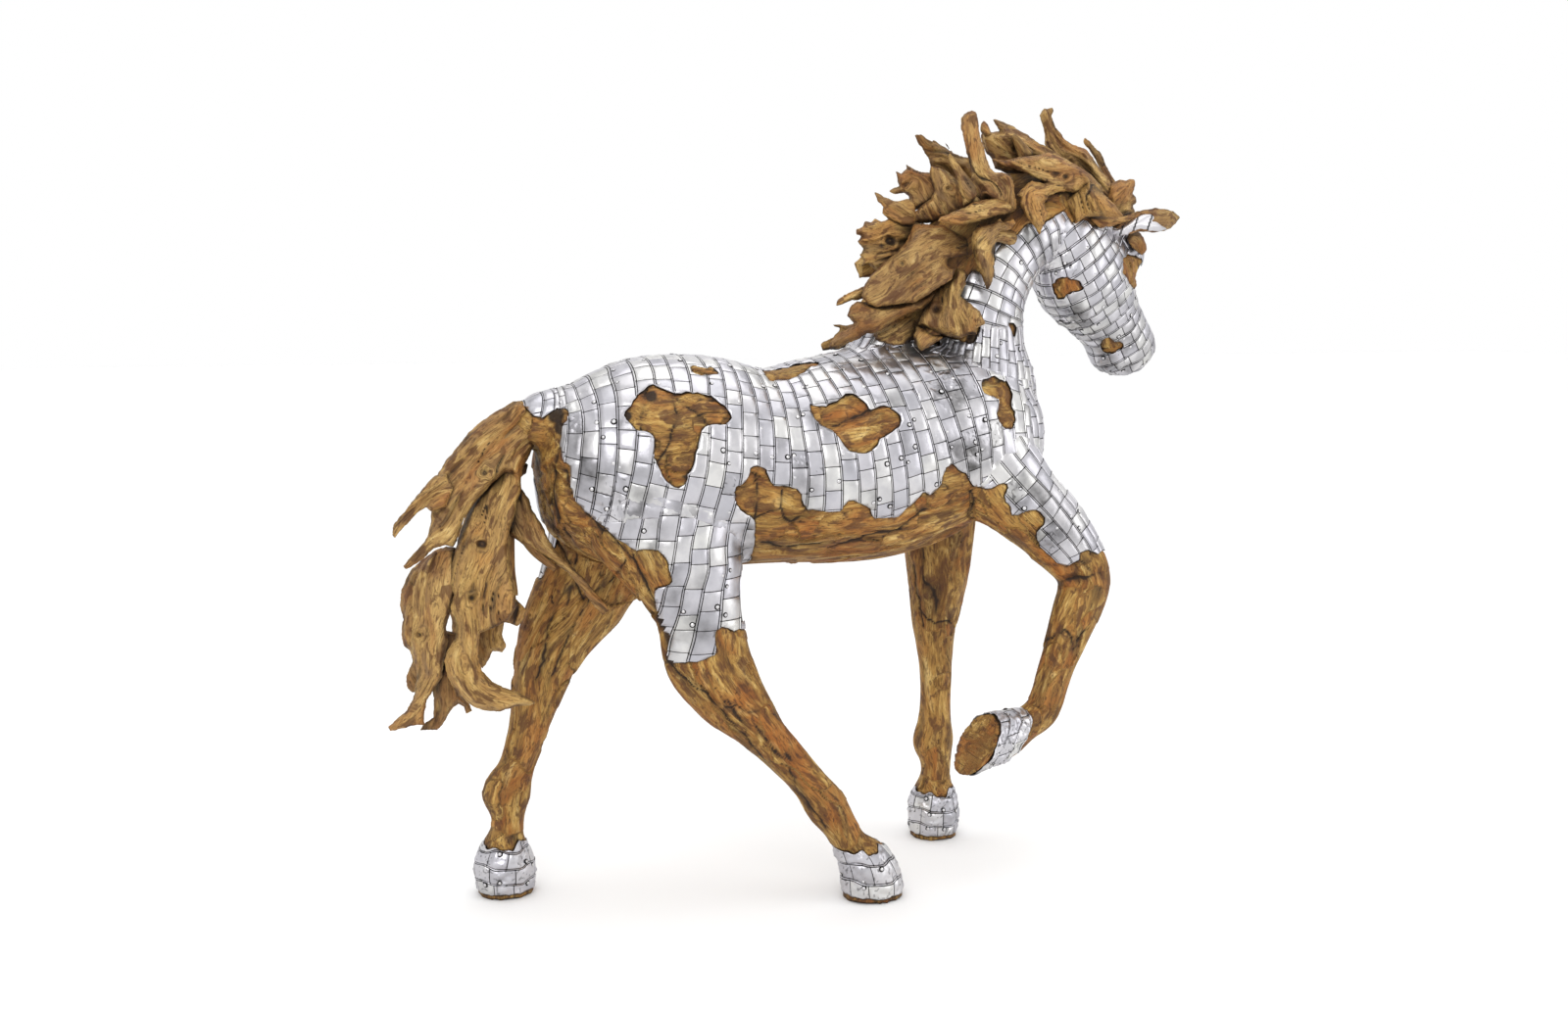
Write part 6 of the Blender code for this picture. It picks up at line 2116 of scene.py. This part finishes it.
# The lines that the zones of plate look outwards from, and where one zone takes over from another:
# along the head, along x at the chest, and up the neck. The near thigh is plated between heights.
TRUNK_LINE = [
    (-84.3, 0, 125), (-79, 0, 123.5), (-62, 0, 121), (-45, 0, 118), (-30, 0, 115.5),
    (-14, 0, 114.5), (4, 0, 116), (20, 0, 119), (42, 0, 124), (60, 0, 124),
]
LOWER_NECK_LINE = [(40, 0, 120), (43.5, 0, 138), (46, 0, 156)]
UPPER_NECK_LINE = [(45, 0, 143), (47, 0, 156), (53, 0.5, 168), (62, 2, 177), (74, 4, 183)]
FAR_THIGH_LINE = [(-52, 11, 119), (-54, 12.5, 106), (-58, 14.5, 93), (-65, 15, 79), (-71, 15, 69)]
ARM_LINE = [
    (30, -8, 130), (38, -11, 122), (46, -15, 112.5), (56, -17.5, 102), (64, -19, 93.5),
    (71, -20, 83),
]
FAR_ARM_LINE = [(38, 12, 120), (41, 14, 108), (43, 16, 96), (44, 17.5, 84)]
HEAD_LINE = [tuple(POLL + HEAD_ALONG * d) for d in (-7, 10, 25, 40, 53)]
MUZZLE_LINE = [tuple(POLL + HEAD_ALONG * 45 + HEAD_FRONT * d) for d in (-9, -1, 8.5)]
MUZZLE_START = float(POLL @ HEAD_ALONG) + 52
CHEST_LINE = [(33, 0, 97), (39, 0, 109), (42, 0, 124), (42, 0, 148)]
CHEST_START = 53.5
NECK_SPLIT = 152.5
UPPER_NECK_START = 152
THIGH_TOP = 128
THIGH_BOTTOM = 58
THIGH_OUTSIDE = -60
ZONES_SHARED = 0.3
# How wide and how long the tiles are.
TILE = (4.6, 5.8)
HEAD_TILE = (3.8, 4.3)
NECK_TILE = (4.1, 5.0)
HOOF_TILE = (4.9, 6.4)
HOOF_CRUMPLED = 0.8
HOOF_SIDES = 96
FOOT_HEIGHT = 0.3

draws = np.random.default_rng(7)
trunk_zone = Zone(TRUNK_LINE, False, TILE, ("trunk", "dock"), clip=((-1, 0, 0), -CHEST_START))
NECK_OWNS = ("neck", "crest")
groups = {
    "body_plates": [
        trunk_zone,
        Curtain(trunk_zone, TILE, ("near_hind",), THIGH_OUTSIDE, THIGH_TOP, THIGH_BOTTOM),
        Zone(FAR_THIGH_LINE, True, TILE, ("far_hind",)),
    ],
    "front_plates": [
        Zone(LOWER_NECK_LINE, True, NECK_TILE, NECK_OWNS, clip=((0, 0, -1), -NECK_SPLIT)),
        Zone(UPPER_NECK_LINE, False, NECK_TILE, NECK_OWNS, clip=((0, 0, 1), UPPER_NECK_START)),
        Zone(CHEST_LINE, True, NECK_TILE, ("trunk",), clip=((1, 0, 0), CHEST_START - ZONES_SHARED)),
        Zone(HEAD_LINE, False, HEAD_TILE, HEAD_LIMBS, clip=(-HEAD_ALONG, -MUZZLE_START)),
        Zone(
            MUZZLE_LINE, True, HEAD_TILE, HEAD_LIMBS,
            clip=(HEAD_ALONG, MUZZLE_START - ZONES_SHARED),
        ),
        Zone(ARM_LINE, True, TILE, ("near_fore",)),
        Zone(FAR_ARM_LINE, True, TILE, ("far_fore",)),
    ],
}
metal = metal_material("nailed metal plate")


def finish_sheet(sheet, name, node):
    obj = sheet.build(name)
    obj.data.materials.append(metal)
    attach(obj, "root")
    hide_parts(node)


for name, zones in groups.items():
    sheet = Sheet()
    for zone in zones:
        sheet.lay(zone, coarse, draws, plate_depth)
    finish_sheet(sheet, name, "body_plate")

hooves = []
for leg, stations in STANDING.items():
    foot = (stations[3][0], stations[3][1], FOOT_HEIGHT)
    line = [foot] + [station[:3] for station in stations[2::-1]]
    hooves.append((leg, line, (leg, leg + "_hoof"), -DOWN))
line = [tuple(RAISED_SOLE)] + [NEAR_FORE[k][:3] for k in (-3, -4, -5)]
hooves.append(("near_fore", line, ("near_fore",), -unit(RAISED_SOLE_FACES)))
for leg, line, owns, along in hooves:
    sheet = Sheet()
    zone = Zone(line, False, HOOF_TILE, owns, along, crumpled=HOOF_CRUMPLED, sides=HOOF_SIDES)
    sheet.lay(zone, coarse, draws, HOOF_MASKS[leg])
    finish_sheet(sheet, leg + "_hoof_tiles", leg + "_hoof_plate")

# How far some roots are brought towards the camera, in centimetres.
FORWARD = {
    "mane_triangle": 3.0, "mane_hooked_piece": 2.0, "mane_hook": 1.5, "mane_thin_spike": 1.5,
    "mane_wedge": 1.0, "mane_bottom_chip": 1.0, "tail_root": 2.0, "brow_knot": -1.0,
}
SPIKE_SHARE = 0.2
SPIKE_SEED = 940
root_wood = wood_material("root wood", 0.2)
for seed, (name, stations) in enumerate(ROOTS.items()):
    if name in OUTLINES:
        forward = FORWARD.get(name, 0.0)
        obj = slab(
            name + ".carved", OUTLINES[name], stations, seed + 1, FromCamera, forward=forward
        )
    else:
        spikes = 0.0 if "ear" in name else SPIKE_SHARE
        spike_draws = np.random.default_rng(seed + SPIKE_SEED)
        outline = ragged_outline(stations, FromFarSide, spike_draws, spikes)
        obj = slab(name + ".carved", outline, stations, seed + 1, FromFarSide)
    obj.data.materials.append(root_wood)
    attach(obj, "root")
    "carved_wood" if "ear" in name else "root_wood"
    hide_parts(name)

EAR_PROUD = 0.35
ear_plate = slab(
    "near_ear_tiles", EAR_PLATE, ROOTS["near_ear"], 90, FromCamera, proud=EAR_PROUD, carved=0.0
)
ear_x, ear_y = picture(vertex_array(ear_plate.data) / CM)
ear_seam = np.zeros(len(ear_x))
for seam_x in EAR_SEAMS:
    away = abs(ear_x - seam_x + 0.35 * (ear_y - 228))
    ear_seam = np.maximum(ear_seam, smoothstep(1.4, 0.3, away))
add_attribute(ear_plate, "seam", ear_seam)
add_attribute(ear_plate, "shade", np.zeros(len(ear_x)))
ear_plate.data.materials.append(metal)
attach(ear_plate, "root")
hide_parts("near_ear_plate")

# Floor, light and camera, in metres. The floor looks darker in reflections than to the camera.

FLOOR_HALF = 40
FLOOR_COLOUR = (0.97, 0.97, 0.97, 1)
FLOOR_IN_GLOSS = (0.68, 0.68, 0.68, 1)
floor_mesh = bpy.data.meshes.new("floor")
bm = bmesh.new()
bmesh.ops.create_grid(bm, x_segments=2, y_segments=2, size=FLOOR_HALF)
bm.to_mesh(floor_mesh)
bm.free()
floor = bpy.data.objects.new("floor", floor_mesh)
bpy.context.scene.collection.objects.link(floor)
material, tree, shader = shader_tree("plain floor")
n = Nodes(tree)
shader.inputs["Base Color"].default_value = FLOOR_COLOUR
shader.inputs["Roughness"].default_value = 0.9
seen_in_gloss = n.add("LightPath").outputs["Is Glossy Ray"]
dim = n.add("BsdfDiffuse", {"Color": FLOOR_IN_GLOSS})
both = n.add("MixShader")
n.put(seen_in_gloss, both.inputs[0])
n.put(shader.outputs[0], both.inputs[1])
n.put(dim.outputs[0], both.inputs[2])
n.put(both.outputs[0], tree.nodes["Material Output"].inputs["Surface"])
floor_mesh.materials.append(material)

# The studio is pale, with darker patches that only reflections show.
world = bpy.data.worlds.new("studio")
bpy.context.scene.world = world
world.use_nodes = True
n = Nodes(world.node_tree)
path = n.add("LightPath")
direction = n.add("TexCoord").outputs["Generated"]
height = n.add("SeparateXYZ", {"Vector": direction}).outputs["Z"]
patches = n.noise(direction, 4.2, 1, 0.4)
studio = n.ramp(n.maths("MULTIPLY_ADD", height, 0.5, 0.5), (
    (0.0, 0.68), (0.44, 0.76), (0.52, 0.9), (0.64, 0.96), (0.8, 0.96), (1.0, 0.9),
))
studio = n.mix(n.ramp(patches, ((0.38, 0.85), (0.5, 0.0))), studio, (0.2, 0.2, 0.21, 1))
plain = n.mix(path.outputs["Is Camera Ray"], (1.06, 1.06, 1.06, 1), (1, 1, 1, 1))
sky = n.mix(path.outputs["Is Glossy Ray"], plain, studio)
n.put(sky, world.node_tree.nodes["Background"].inputs["Color"])


def stand(name, data, place, target):
    """Put a light or the camera at a place, looking at a target."""
    obj = bpy.data.objects.new(name, data)
    obj.location = place
    obj.rotation_mode = "QUATERNION"
    obj.rotation_quaternion = (Vector(target) - Vector(place)).to_track_quat("-Z", "Y")
    bpy.context.scene.collection.objects.link(obj)
    return obj


# Each light's place, target, size and power.
LIGHTS = {
    "key": ((-2.5, -4.5, 4.2), (0, 0, 1.1), (3.8, 3.4), 86),
    "fill": ((4.5, -3.0, 2.2), (0, 0, 1.1), (2.4, 3.0), 30),
    "top": ((0.3, 0.5, 5.0), (0, 0, 1.0), (4.4, 3.4), 40),
}
for name, (place, target, size, power) in LIGHTS.items():
    data = bpy.data.lights.new(name, "AREA")
    data.shape = "RECTANGLE"
    data.size, data.size_y = size
    data.energy = power
    stand(name, data, place, target)

SENSOR = 36
camera = bpy.data.cameras.new("camera")
camera.sensor_width = SENSOR
camera.lens = FOCAL * SENSOR / PICTURE[0]
bpy.context.scene.camera = stand("camera", camera, CAMERA * CM, TARGET * CM)
bpy.context.scene.view_settings.view_transform = "Standard"
